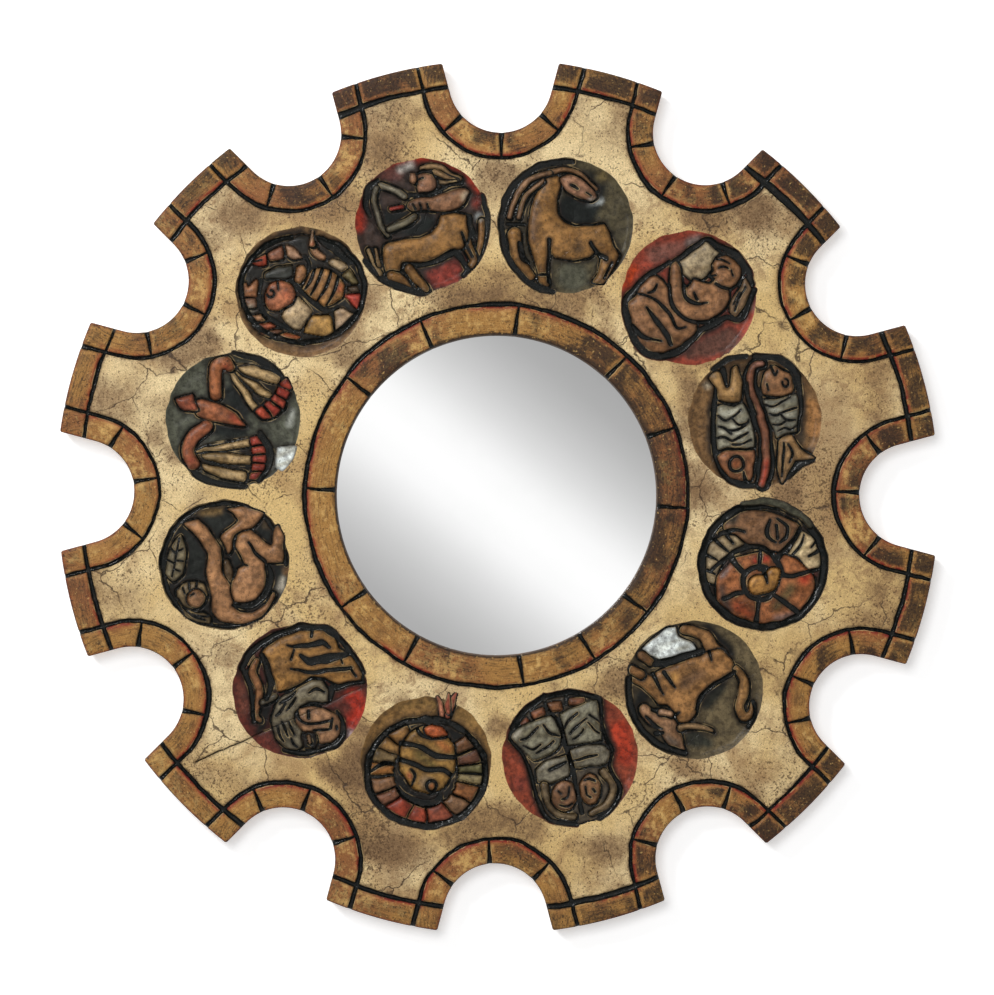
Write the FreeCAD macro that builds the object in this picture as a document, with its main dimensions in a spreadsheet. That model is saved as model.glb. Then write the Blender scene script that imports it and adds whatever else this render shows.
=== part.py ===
import FreeCAD, Part
import math
import os
import Sketcher
from FreeCAD import Placement, Rotation, Vector

# Round carved wall mirror: a cog-shaped panel of glued planks with sunk medallions,
# a round glass held from behind, and two ring hangers.
# World frame: origin on the wall plane, on the mirror's axis; front faces -Y; +Z up.

# Driving sizes, in millimetres and degrees.
dims = {
    # panel outline
    "tip_radius": 345.0,
    "tooth_count": 12,
    "board_thickness": 24.0,
    "notch_floor": 286.5,
    "notch_radius": 42.0,
    "notch_flare": 15.0,
    # carved borders and medallions
    "ring_width": 24.0,
    "notch_band": 20.0,
    "tip_band": 19.0,
    "groove_width": 4.6,
    "groove_depth": 2.6,
    "medallion_orbit": 215.0,
    "medallion_radius": 52.5,
    "medallion_depth": 2.8,
    # planks and their dowels
    "plank_angle": 26.0,
    "middle_width": 170.0,
    "dowel_radius": 5.0,
    "dowel_length": 50.0,
    "dowel_chamfer": 0.8,
    "dowel_inner": 150.0,
    "dowel_outer": 225.0,
    "dowel_clearance": 0.1,
    "dowel_end_gap": 1.0,
    # glass and backing
    "sight_radius": 127.0,
    "glass_lap": 6.0,
    "glass_clearance": 1.0,
    "glass_thickness": 3.0,
    "glass_arris": 0.5,
    "backing_thickness": 3.0,
    "backing_clearance": 0.8,
    # turn buttons
    "button_count": 4,
    "button_half_width": 6.5,
    "button_thickness": 2.0,
    "button_fillet": 0.6,
    "button_setback": 10.0,
    "button_overlap": 12.0,
    # one screw serves buttons and hangers
    "screw_radius": 1.75,
    "screw_length": 14.0,
    "screw_point": 4.0,
    "screw_head_radius": 3.4,
    "screw_head_height": 1.8,
    "screw_head_fillet": 1.1,
    "screw_slot_width": 0.9,
    "screw_slot_depth": 0.8,
    "head_gap": 0.1,
    "pivot_clearance": 0.08,
    "pilot_clearance": 0.05,
    # ring hangers
    "hanger_spread": 240.0,
    "hanger_rise": 225.0,
    "strap_half_width": 7.0,
    "strap_length": 38.0,
    "strap_sheet": 1.0,
    "strap_screw_near": 11.5,
    "strap_screw_far": 36.0,
    "strap_hole_clearance": 0.25,
    "ring_wire_radius": 1.5,
    "ring_corner": 3.0,
    "ring_side_gap": 0.6,
    "ring_leg": 4.0,
    # wall bumpers
    "bumper_height": 6.0,
    "bumper_radius": 7.5,
    "bumper_face_radius": 6.2,
    "bumper_fillet": 1.0,
    "bumper_spread": 240.0,
    "bumper_drop": 230.0,
}

doc = FreeCAD.newDocument("zodiac_mirror")
sheet = doc.addObject("Spreadsheet::Sheet", "Sizes")
for row, (alias, number) in enumerate(dims.items(), start=1):
    sheet.set("A%d" % row, alias)
    sheet.set("B%d" % row, str(number))
    sheet.setAlias("B%d" % row, alias)
doc.recompute()

# Places that several pieces share, written once as expressions on the sheet.
notch_centre = "(Sizes.notch_floor + Sizes.notch_radius)"
rebate_radius = "(Sizes.sight_radius + Sizes.glass_lap + Sizes.glass_clearance)"
glass_radius = "(Sizes.sight_radius + Sizes.glass_lap)"
button_orbit = "(%s + Sizes.button_setback)" % rebate_radius
strap_thickness = "(2 * Sizes.strap_sheet)"
barrel_bore = "(Sizes.ring_wire_radius + Sizes.pivot_clearance)"
barrel_radius = "(%s + Sizes.strap_sheet)" % barrel_bore
half_joint = "(Sizes.middle_width / 2)"

# The panel is drawn flat, front up, then stood against the wall.
# Hardware on the back is drawn with its own z pointing to the wall.
FLAT_TO_WALL = Rotation(Vector(1, 0, 0), 90)
BACK_TO_WALL = Rotation(Vector(0, 1, 1), 180)
OVERSHOOT = 10.0

notch_centre_mm = dims["notch_floor"] + dims["notch_radius"]
rebate_radius_mm = dims["sight_radius"] + dims["glass_lap"] + dims["glass_clearance"]


def bind(obj, **expressions):
    for name, expression in expressions.items():
        obj.setExpression(name.replace("__", "."), expression)


def primitive(kind, name, **expressions):
    obj = doc.addObject(kind, name)
    bind(obj, **expressions)
    return obj


def boolean(kind, name, base, tool):
    obj = doc.addObject(kind, name)
    obj.Base = base
    obj.Tool = tool
    return obj


def compound(name, pieces):
    obj = doc.addObject("Part::Compound", name)
    obj.Links = pieces
    return obj


def make_body(name):
    return doc.addObject("PartDesign::Body", name)


def origin_feature(body, role):
    return next(item for item in body.Origin.OriginFeatures if item.Role == role)


def make_sketch(body, name, role="XY_Plane", height=None):
    sketch = body.newObject("Sketcher::SketchObject", name)
    sketch.AttachmentSupport = [(origin_feature(body, role), "")]
    sketch.MapMode = "FlatFace"
    if height:
        sketch.setExpression("AttachmentOffset.Base.z", height)
    return sketch


def drive(sketch, name, expression, *constraint):
    index = sketch.addConstraint(Sketcher.Constraint(*constraint))
    sketch.renameConstraint(index, name)
    sketch.setExpression("Constraints." + name, expression)


def add_circle(sketch, name, radius_mm, radius, x_mm=0.0, y_mm=0.0, x=None, y=None):
    circle = Part.Circle(Vector(x_mm, y_mm, 0), Vector(0, 0, 1), radius_mm)
    edge = sketch.addGeometry(circle)
    if x or y:
        drive(sketch, name + "_x", x, "DistanceX", -1, 1, edge, 3, x_mm)
        drive(sketch, name + "_y", y, "DistanceY", -1, 1, edge, 3, y_mm)
    else:
        sketch.addConstraint(Sketcher.Constraint("Coincident", edge, 3, -1, 1))
    drive(sketch, name, radius, "Radius", edge, radius_mm)


def add_pad(body, name, sketch, length):
    pad = body.newObject("PartDesign::Pad", name)
    pad.Profile = sketch
    pad.setExpression("Length", length)
    sketch.Visibility = False
    return pad


def add_pocket(body, name, sketch, depth=None, from_back=False):
    pocket = body.newObject("PartDesign::Pocket", name)
    pocket.Profile = sketch
    pocket.Reversed = from_back
    if depth:
        pocket.setExpression("Length", depth)
    else:
        pocket.Type = 1
    sketch.Visibility = False
    return pocket


def add_flared_run(sketch, name, radius_mm, radius):
    # Left wall, floor arc and right wall of a notch or of a groove that follows it.
    flare = math.radians(dims["notch_flare"])
    reach_mm = dims["tip_radius"] + OVERSHOOT
    side = radius_mm * math.cos(flare)
    start = notch_centre_mm - radius_mm * math.sin(flare)
    mouth = side + (reach_mm - start) * math.tan(flare)
    circle = Part.Circle(Vector(0, notch_centre_mm, 0), Vector(0, 0, 1), radius_mm)
    arc = sketch.addGeometry(Part.ArcOfCircle(circle, math.pi + flare, 2 * math.pi - flare))
    right = sketch.addGeometry(Part.LineSegment(Vector(side, start, 0), Vector(mouth, reach_mm, 0)))
    left = sketch.addGeometry(Part.LineSegment(Vector(-side, start, 0), Vector(-mouth, reach_mm, 0)))
    sketch.addConstraint(Sketcher.Constraint("PointOnObject", arc, 3, -2))
    sketch.addConstraint(Sketcher.Constraint("Tangent", arc, 2, right, 1))
    sketch.addConstraint(Sketcher.Constraint("Tangent", arc, 1, left, 1))
    sketch.addConstraint(Sketcher.Constraint("Symmetric", right, 2, left, 2, -2))
    drive(sketch, name + "_centre", notch_centre, "DistanceY", -1, 1, arc, 3, notch_centre_mm)
    drive(sketch, name + "_radius", radius, "Radius", arc, radius_mm)
    drive(sketch, name + "_reach", "Sizes.tip_radius + %g" % OVERSHOOT,
          "DistanceY", -1, 1, right, 2, reach_mm)
    drive(sketch, name + "_flare", "90deg - Sizes.notch_flare * 1deg",
          "Angle", right, math.pi / 2 - flare)
    return left, right


def close_runs(sketch, first, second):
    one = sketch.Geometry[first].EndPoint
    two = sketch.Geometry[second].EndPoint
    edge = sketch.addGeometry(Part.LineSegment(one, two))
    sketch.addConstraint(Sketcher.Constraint("Coincident", edge, 1, first, 2))
    sketch.addConstraint(Sketcher.Constraint("Coincident", edge, 2, second, 2))


def make_panel():
    body = make_body("carved_panel")
    front = "Sizes.board_thickness"

    outline = make_sketch(body, "panel_outline")
    add_circle(outline, "tip", dims["tip_radius"], "Sizes.tip_radius")
    add_pad(body, "panel_blank", outline, "Sizes.board_thickness")

    sight = make_sketch(body, "sight_circle")
    add_circle(sight, "sight", dims["sight_radius"], "Sizes.sight_radius")
    add_pocket(body, "sight_opening", sight, from_back=True)

    rebate = make_sketch(body, "rebate_circle")
    add_circle(rebate, "rebate", rebate_radius_mm, rebate_radius)
    depth = "Sizes.glass_thickness + Sizes.backing_thickness"
    add_pocket(body, "glass_rebate", rebate, depth, from_back=True)

    rings = make_sketch(body, "ring_circles", height=front)
    half = dims["groove_width"] / 2
    inner_mm = dims["sight_radius"] + dims["ring_width"]
    outer_mm = dims["tip_radius"] - dims["tip_band"]
    for side, sign in (("in", "-"), ("out", "+")):
        offset = half if sign == "+" else -half
        edge = " %s Sizes.groove_width / 2" % sign
        add_circle(rings, "ring_" + side, inner_mm + offset,
                   "Sizes.sight_radius + Sizes.ring_width" + edge)
        add_circle(rings, "tip_" + side, outer_mm + offset,
                   "Sizes.tip_radius - Sizes.tip_band" + edge)
    add_pocket(body, "ring_grooves", rings, "Sizes.groove_depth")

    notch = make_sketch(body, "notch_profile")
    left, right = add_flared_run(notch, "notch", dims["notch_radius"], "Sizes.notch_radius")
    close_runs(notch, left, right)
    notch_cut = add_pocket(body, "notch", notch, from_back=True)

    band = make_sketch(body, "band_profile", height=front)
    middle_mm = dims["notch_radius"] + dims["notch_band"]
    middle = "Sizes.notch_radius + Sizes.notch_band"
    near = add_flared_run(band, "near", middle_mm - half, middle + " - Sizes.groove_width / 2")
    far = add_flared_run(band, "far", middle_mm + half, middle + " + Sizes.groove_width / 2")
    close_runs(band, near[0], far[0])
    close_runs(band, near[1], far[1])
    band_cut = add_pocket(body, "band_groove", band, "Sizes.groove_depth")

    disc = make_sketch(body, "medallion_circle", height=front)
    half_pitch = math.pi / dims["tooth_count"]
    add_circle(disc, "medallion", dims["medallion_radius"], "Sizes.medallion_radius",
               dims["medallion_orbit"] * math.sin(half_pitch),
               dims["medallion_orbit"] * math.cos(half_pitch),
               "Sizes.medallion_orbit * sin(180deg / Sizes.tooth_count)",
               "Sizes.medallion_orbit * cos(180deg / Sizes.tooth_count)")
    disc_cut = add_pocket(body, "medallion", disc, "Sizes.medallion_depth")

    pattern = body.newObject("PartDesign::PolarPattern", "teeth")
    pattern.Originals = [notch_cut, band_cut, disc_cut]
    pattern.Axis = (origin_feature(body, "Z_Axis"), [""])
    pattern.Angle = 360
    pattern.setExpression("Occurrences", "Sizes.tooth_count")
    body.Tip = pattern
    return body


def place_along_plank(obj, along, across, height):
    # along and across are measured in the planks' own direction, about the mirror's axis
    bind(obj,
         Placement__Base__x="(%s) * cos(Sizes.plank_angle * 1deg) - (%s) * sin(Sizes.plank_angle * 1deg)"
         % (along, across),
         Placement__Base__y="(%s) * sin(Sizes.plank_angle * 1deg) + (%s) * cos(Sizes.plank_angle * 1deg)"
         % (along, across),
         Placement__Base__z=height)


def make_slab(name, along, across, length, width):
    slab = primitive("Part::Box", name, Length=length, Width=width, Height="Sizes.board_thickness")
    slab.Placement = Placement(Vector(), Rotation(Vector(0, 0, 1), dims["plank_angle"]))
    place_along_plank(slab, along, across, "0")
    return slab


def dowel_places(side):
    # Two dowels each side of the opening, on the joint above (+) or below (-) the middle.
    return [(sign + place, side + half_joint)
            for sign in ("", "-") for place in ("Sizes.dowel_inner", "Sizes.dowel_outer")]


def make_dowel_bore(name, along, across):
    bore = primitive("Part::Cylinder", name,
                     Radius="Sizes.dowel_radius + Sizes.dowel_clearance",
                     Height="Sizes.dowel_length + 2 * Sizes.dowel_end_gap")
    turn = Rotation(Vector(0, 0, 1), dims["plank_angle"]).multiply(Rotation(Vector(1, 0, 0), -90))
    bore.Placement = Placement(Vector(), turn)
    start = "%s - Sizes.dowel_length / 2 - Sizes.dowel_end_gap" % across
    place_along_plank(bore, along, start, "Sizes.board_thickness / 2")
    return bore


def make_dowel(name, along, across):
    body = make_body(name)
    section = make_sketch(body, name + "_section")
    add_circle(section, "dowel", dims["dowel_radius"], "Sizes.dowel_radius")
    pad = add_pad(body, name + "_peg", section, "Sizes.dowel_length")
    doc.recompute()
    chamfer = body.newObject("PartDesign::Chamfer", name + "_ends")
    chamfer.Base = (pad, ["Face%d" % index for index, face in enumerate(pad.Shape.Faces, start=1)
                          if face.Surface.TypeId == "Part::GeomPlane"])
    chamfer.setExpression("Size", "Sizes.dowel_chamfer")
    body.Tip = chamfer
    # Placed in the world: the panel's flat x, y, z become x, z and -y.
    turn = FLAT_TO_WALL.multiply(Rotation(Vector(0, 0, 1), dims["plank_angle"]))
    body.Placement = Placement(Vector(), turn.multiply(Rotation(Vector(1, 0, 0), -90)))
    start = "(%s - Sizes.dowel_length / 2)" % across
    bind(body,
         Placement__Base__x="(%s) * cos(Sizes.plank_angle * 1deg) - %s * sin(Sizes.plank_angle * 1deg)"
         % (along, start),
         Placement__Base__z="(%s) * sin(Sizes.plank_angle * 1deg) + %s * cos(Sizes.plank_angle * 1deg)"
         % (along, start),
         Placement__Base__y="-Sizes.bumper_height - Sizes.board_thickness / 2")
    return body


def button_turn(index):
    return "(45deg + %d * 360deg / Sizes.button_count)" % index


def button_place(index):
    turn = button_turn(index)
    return "%s * cos(%s)" % (button_orbit, turn), "%s * sin(%s)" % (button_orbit, turn)


def hanger_screw_places():
    places = []
    for side in ("-", ""):
        for drop in ("Sizes.strap_screw_near", "Sizes.strap_screw_far"):
            places.append((side + "Sizes.hanger_spread / 2", "Sizes.hanger_rise - " + drop))
    return places


def make_pilot_hole(name, x, z, plate):
    # Drilled from the back face, as deep as the screw goes past its plate.
    hole = primitive("Part::Cylinder", name,
                     Radius="Sizes.screw_radius + Sizes.pilot_clearance",
                     Height="Sizes.screw_length - %s + Sizes.head_gap" % plate)
    bind(hole, Placement__Base__x=x, Placement__Base__y=z, Placement__Base__z="0")
    return hole


def make_planks(panel):
    holes = []
    for side, name in (("", "upper"), ("-", "lower")):
        for index, (along, across) in enumerate(dowel_places(side), start=1):
            holes.append(make_dowel_bore("%s_bore_%d" % (name, index), along, across))
    for index in range(dims["button_count"]):
        x, z = button_place(index)
        holes.append(make_pilot_hole("button_pilot_%d" % (index + 1), x, z, "Sizes.button_thickness"))
    for index, (x, z) in enumerate(hanger_screw_places(), start=1):
        holes.append(make_pilot_hole("hanger_pilot_%d" % index, x, z, strap_thickness))
    drilled = compound("drilled_holes", holes)

    whole = "2 * Sizes.tip_radius"
    slabs = {
        "upper_plank": ("-Sizes.tip_radius", half_joint, whole, "Sizes.tip_radius"),
        "lower_plank": ("-Sizes.tip_radius", "-%s - Sizes.tip_radius" % half_joint, whole, "Sizes.tip_radius"),
        "left_block": ("-Sizes.tip_radius", "-" + half_joint, "Sizes.tip_radius", "Sizes.middle_width"),
        "right_block": ("0", "-" + half_joint, "Sizes.tip_radius", "Sizes.middle_width"),
    }
    planks = []
    for name, (along, across, length, width) in slabs.items():
        slab = make_slab(name + "_slab", along, across, length, width)
        sawn = boolean("Part::Common", name + "_sawn", panel, slab)
        plank = boolean("Part::Cut", name, sawn, drilled)
        plank.Placement = Placement(Vector(), FLAT_TO_WALL)
        plank.setExpression("Placement.Base.y", "-Sizes.bumper_height")
        planks.append(plank)
    return planks


def make_dowels():
    groups = []
    for side, name in (("", "upper"), ("-", "lower")):
        pegs = [make_dowel("%s_dowel_%d" % (name, index), along, across)
                for index, (along, across) in enumerate(dowel_places(side), start=1)]
        groups.append(compound(name + "_joint_dowels", pegs))
    return groups


def make_disc(name, radius_mm, radius, thickness, behind, arris=None):
    body = make_body(name)
    section = make_sketch(body, name + "_section")
    add_circle(section, "rim", radius_mm, radius)
    pad = add_pad(body, name + "_disc", section, thickness)
    if arris:
        doc.recompute()
        chamfer = body.newObject("PartDesign::Chamfer", name + "_arris")
        chamfer.Base = (pad, ["Face%d" % index for index, face in enumerate(pad.Shape.Faces, start=1)
                              if face.Surface.TypeId == "Part::GeomPlane"])
        chamfer.setExpression("Size", arris)
        body.Tip = chamfer
    body.Placement = Placement(Vector(), FLAT_TO_WALL)
    body.setExpression("Placement.Base.y", "-Sizes.bumper_height - %s" % behind)
    return body


def make_button(index):
    name = "turn_button_%d" % (index + 1)
    body = make_body(name)
    half = dims["button_half_width"]
    reach_mm = dims["button_setback"] + dims["button_overlap"] - half
    section = make_sketch(body, name + "_section")
    up = Vector(0, 0, 1)
    heel = section.addGeometry(Part.ArcOfCircle(Part.Circle(Vector(), up, half), math.pi / 2, 3 * math.pi / 2))
    under = section.addGeometry(Part.LineSegment(Vector(0, -half, 0), Vector(reach_mm, -half, 0)))
    toe_circle = Part.Circle(Vector(reach_mm, 0, 0), up, half)
    toe = section.addGeometry(Part.ArcOfCircle(toe_circle, -math.pi / 2, math.pi / 2))
    over = section.addGeometry(Part.LineSegment(Vector(reach_mm, half, 0), Vector(0, half, 0)))
    section.addConstraint(Sketcher.Constraint("Coincident", heel, 3, -1, 1))
    section.addConstraint(Sketcher.Constraint("PointOnObject", toe, 3, -1))
    for first, second in ((heel, under), (under, toe), (toe, over), (over, heel)):
        section.addConstraint(Sketcher.Constraint("Tangent", first, 2, second, 1))
    drive(section, "half_width", "Sizes.button_half_width", "Radius", heel, half)
    drive(section, "reach", "Sizes.button_setback + Sizes.button_overlap - Sizes.button_half_width",
          "DistanceX", -1, 1, toe, 3, reach_mm)
    add_circle(section, "pivot", dims["screw_radius"] + dims["pivot_clearance"],
               "Sizes.screw_radius + Sizes.pivot_clearance")
    pad = add_pad(body, name + "_plate", section, "Sizes.button_thickness")
    doc.recompute()
    top = max(range(len(pad.Shape.Faces)), key=lambda item: pad.Shape.Faces[item].CenterOfMass.z)
    rim = pad.Shape.Faces[top].OuterWire.Edges
    edges = ["Edge%d" % number for number, edge in enumerate(pad.Shape.Edges, start=1)
             if any(edge.isSame(other) for other in rim)]
    fillet = body.newObject("PartDesign::Fillet", name + "_rim")
    fillet.Base = (pad, edges)
    fillet.setExpression("Radius", "Sizes.button_fillet")
    body.Tip = fillet
    angle = 45 + index * 360 / dims["button_count"]
    turn = BACK_TO_WALL.multiply(Rotation(Vector(0, 0, 1), -angle))
    body.Placement = Placement(Vector(), turn)
    x, z = button_place(index)
    bind(body, Placement__Base__x=x, Placement__Base__z=z, Placement__Base__y="-Sizes.bumper_height")
    return body


def make_screw(name, x, z, plate):
    # Under-head plane at local z = 0, shank towards -z, slotted head above.
    shank = primitive("Part::Cylinder", name + "_shank", Radius="Sizes.screw_radius",
                      Height="Sizes.screw_length - Sizes.screw_point",
                      Placement__Base__z="Sizes.screw_point - Sizes.screw_length")
    point = primitive("Part::Cone", name + "_point", Radius1="Sizes.screw_radius / 6",
                      Radius2="Sizes.screw_radius", Height="Sizes.screw_point",
                      Placement__Base__z="-Sizes.screw_length")
    head = primitive("Part::Cylinder", name + "_head", Radius="Sizes.screw_head_radius",
                     Height="Sizes.screw_head_height")
    doc.recompute()
    top_edge = max(range(3), key=lambda item: head.Shape.Edges[item].CenterOfMass.z)
    crown = doc.addObject("Part::Fillet", name + "_crown")
    crown.Base = head
    crown.Edges = [(top_edge + 1, dims["screw_head_fillet"], dims["screw_head_fillet"])]
    body = doc.addObject("Part::MultiFuse", name + "_body")
    body.Shapes = [shank, point, crown]
    slot = primitive("Part::Box", name + "_slot",
                     Length="3 * Sizes.screw_head_radius", Width="Sizes.screw_slot_width",
                     Height="2 * Sizes.screw_slot_depth",
                     Placement__Base__x="-1.5 * Sizes.screw_head_radius",
                     Placement__Base__y="-Sizes.screw_slot_width / 2",
                     Placement__Base__z="Sizes.screw_head_height - Sizes.screw_slot_depth")
    screw = boolean("Part::Cut", name, body, slot)
    screw.Placement = Placement(Vector(), BACK_TO_WALL)
    bind(screw, Placement__Base__x=x, Placement__Base__z=z,
         Placement__Base__y="%s + Sizes.head_gap - Sizes.bumper_height" % plate)
    return screw


def make_strap(name, side):
    # Folded strip: a doubled plate with its bend rolled round the ring's bar.
    end_y = "-Sizes.strap_length"
    plate = primitive("Part::Box", name + "_plate", Length="2 * Sizes.strap_half_width",
                      Width="Sizes.strap_length", Height=strap_thickness,
                      Placement__Base__x="-Sizes.strap_half_width", Placement__Base__y=end_y)
    end = primitive("Part::Cylinder", name + "_end", Radius="Sizes.strap_half_width",
                    Height=strap_thickness, Placement__Base__y=end_y)
    barrel = primitive("Part::Cylinder", name + "_barrel", Radius=barrel_radius,
                       Height="2 * Sizes.strap_half_width")
    bore = primitive("Part::Cylinder", name + "_bore", Radius=barrel_bore,
                     Height="4 * Sizes.strap_half_width")
    for rod, reach in ((barrel, "-Sizes.strap_half_width"), (bore, "-2 * Sizes.strap_half_width")):
        rod.Placement = Placement(Vector(), Rotation(Vector(0, 1, 0), 90))
        bind(rod, Placement__Base__x=reach, Placement__Base__z=barrel_radius)
    metal = doc.addObject("Part::MultiFuse", name + "_metal")
    metal.Shapes = [plate, end, barrel]
    cuts = [bore]
    for place in ("near", "far"):
        hole = primitive("Part::Cylinder", "%s_hole_%s" % (name, place),
                         Radius="Sizes.screw_radius + Sizes.strap_hole_clearance",
                         Height="2 * %s" % strap_thickness,
                         Placement__Base__y="-Sizes.strap_screw_" + place,
                         Placement__Base__z="-%s / 2" % strap_thickness)
        cuts.append(hole)
    strap = boolean("Part::Cut", name, metal, compound(name + "_cuts", cuts))
    strap.Placement = Placement(Vector(), BACK_TO_WALL)
    bind(strap, Placement__Base__x=side + "Sizes.hanger_spread / 2",
         Placement__Base__z="Sizes.hanger_rise", Placement__Base__y="-Sizes.bumper_height")
    return strap


def make_ring(name, side):
    # Closed D of round wire; its straight bar turns in the strap's barrel.
    body = make_body(name)
    bar = dims["strap_half_width"] + dims["ring_side_gap"]
    corner = dims["ring_corner"]
    leg = dims["ring_leg"]
    wide = bar + corner
    up = Vector(0, 0, 1)
    spine = make_sketch(body, name + "_spine")

    def line(x1, y1, x2, y2):
        return spine.addGeometry(Part.LineSegment(Vector(x1, y1, 0), Vector(x2, y2, 0)))

    def arc(x, y, radius, start, end):
        circle = Part.Circle(Vector(x, y, 0), up, radius)
        return spine.addGeometry(Part.ArcOfCircle(circle, math.radians(start), math.radians(end)))

    right_bar = line(0, 0, bar, 0)
    right_corner = arc(bar, corner, corner, 270, 360)
    right_leg = line(wide, corner, wide, corner + leg)
    bow = arc(0, corner + leg, wide, 0, 180)
    left_leg = line(-wide, corner + leg, -wide, corner)
    left_corner = arc(-bar, corner, corner, 180, 270)
    left_bar = line(-bar, 0, 0, 0)
    chain = (right_bar, right_corner, right_leg, bow, left_leg, left_corner, left_bar)
    for first, second in zip(chain, chain[1:]):
        spine.addConstraint(Sketcher.Constraint("Tangent", first, 2, second, 1))
    spine.addConstraint(Sketcher.Constraint("Coincident", right_bar, 1, -1, 1))
    spine.addConstraint(Sketcher.Constraint("Coincident", left_bar, 2, -1, 1))
    spine.addConstraint(Sketcher.Constraint("Horizontal", right_bar))
    spine.addConstraint(Sketcher.Constraint("Horizontal", left_bar))
    spine.addConstraint(Sketcher.Constraint("Vertical", right_leg))
    spine.addConstraint(Sketcher.Constraint("Vertical", left_leg))
    spine.addConstraint(Sketcher.Constraint("Equal", right_bar, left_bar))
    drive(spine, "half_bar", "Sizes.strap_half_width + Sizes.ring_side_gap",
          "DistanceX", right_bar, 1, right_bar, 2, bar)
    drive(spine, "corner", "Sizes.ring_corner", "Radius", right_corner, corner)
    drive(spine, "leg", "Sizes.ring_leg", "DistanceY", right_leg, 1, right_leg, 2, leg)

    section = make_sketch(body, name + "_section", "YZ_Plane")
    add_circle(section, "wire", dims["ring_wire_radius"], "Sizes.ring_wire_radius")
    doc.recompute()
    pipe = body.newObject("PartDesign::AdditivePipe", name + "_wire")
    pipe.Profile = section
    pipe.Spine = spine
    body.Tip = pipe
    body.Placement = Placement(Vector(), BACK_TO_WALL)
    bind(body, Placement__Base__x=side + "Sizes.hanger_spread / 2", Placement__Base__z="Sizes.hanger_rise",
         Placement__Base__y="%s - Sizes.bumper_height" % barrel_radius)
    return body


def make_bumper(name, side):
    cone = primitive("Part::Cone", name + "_cone", Radius1="Sizes.bumper_radius",
                     Radius2="Sizes.bumper_face_radius", Height="Sizes.bumper_height")
    doc.recompute()
    top_edge = max(range(3), key=lambda item: cone.Shape.Edges[item].CenterOfMass.z)
    bumper = doc.addObject("Part::Fillet", name)
    bumper.Base = cone
    bumper.Edges = [(top_edge + 1, dims["bumper_fillet"], dims["bumper_fillet"])]
    bumper.Placement = Placement(Vector(), BACK_TO_WALL)
    bind(bumper, Placement__Base__x=side + "Sizes.bumper_spread / 2",
         Placement__Base__z="-Sizes.bumper_drop", Placement__Base__y="-Sizes.bumper_height")
    return bumper


parts = make_planks(make_panel())
parts += make_dowels()
parts.append(make_disc("mirror_glass", dims["sight_radius"] + dims["glass_lap"], glass_radius,
                       "Sizes.glass_thickness", "Sizes.backing_thickness", "Sizes.glass_arris"))
parts.append(make_disc("backing_disc", rebate_radius_mm - dims["backing_clearance"],
                       rebate_radius + " - Sizes.backing_clearance", "Sizes.backing_thickness", "0"))

button_screws = []
for index in range(dims["button_count"]):
    parts.append(make_button(index))
    x, z = button_place(index)
    button_screws.append(make_screw("button_screw_%d" % (index + 1), x, z, "Sizes.button_thickness"))
parts.append(compound("turn_button_screws", button_screws))

for side, name in (("-", "left"), ("", "right")):
    parts.append(make_strap("hanger_strap_" + name, side))
    parts.append(make_ring("hanger_ring_" + name, side))
    parts.append(make_bumper("wall_bumper_" + name, side))
hanger_screws = [make_screw("hanger_screw_%d" % index, x, z, strap_thickness)
                 for index, (x, z) in enumerate(hanger_screw_places(), start=1)]
parts.append(compound("hanger_screws", hanger_screws))

doc.recompute()

for obj in doc.Objects:
    if "Invalid" in obj.State or "Error" in obj.State:
        raise RuntimeError("%s did not compute: %s" % (obj.Label, obj.State))
for obj in parts:
    if obj.Shape.isNull() or not obj.Shape.isValid() or not obj.Shape.Solids:
        raise RuntimeError("%s has no valid solid" % obj.Label)

os.makedirs("parts", exist_ok=True)
for obj in parts:
    obj.Shape.exportStep("parts/%s.step" % obj.Label)
    box = obj.Shape.BoundBox
    print("%-20s solids %2d  volume %11.1f  x %7.1f %7.1f  y %6.1f %6.1f  z %7.1f %7.1f"
          % (obj.Label, len(obj.Shape.Solids), obj.Shape.Volume,
             box.XMin, box.XMax, box.YMin, box.YMax, box.ZMin, box.ZMax))
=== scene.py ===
import math
import bpy
import numpy as np
from mathutils.geometry import delaunay_2d_cdt
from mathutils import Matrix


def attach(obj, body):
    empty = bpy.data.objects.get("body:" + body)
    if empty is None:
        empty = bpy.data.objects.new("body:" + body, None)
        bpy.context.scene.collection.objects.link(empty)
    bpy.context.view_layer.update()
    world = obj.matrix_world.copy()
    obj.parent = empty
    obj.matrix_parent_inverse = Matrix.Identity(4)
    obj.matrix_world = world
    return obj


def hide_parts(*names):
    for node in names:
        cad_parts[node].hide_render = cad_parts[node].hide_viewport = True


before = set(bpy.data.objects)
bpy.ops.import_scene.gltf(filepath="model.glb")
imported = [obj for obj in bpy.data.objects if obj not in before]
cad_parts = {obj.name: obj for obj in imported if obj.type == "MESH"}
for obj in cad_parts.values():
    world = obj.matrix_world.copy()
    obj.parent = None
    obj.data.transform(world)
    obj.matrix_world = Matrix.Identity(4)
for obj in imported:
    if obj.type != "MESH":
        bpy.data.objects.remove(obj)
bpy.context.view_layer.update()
scene = bpy.context.scene
far = 999.0  # mm, when nothing is near


# small helpers: soft steps, hand wobble, colours
def rise(value, low, high):
    t = np.clip((value - low) / (high - low), 0.0, 1.0)
    return t * t * (3.0 - 2.0 * t)


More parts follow.
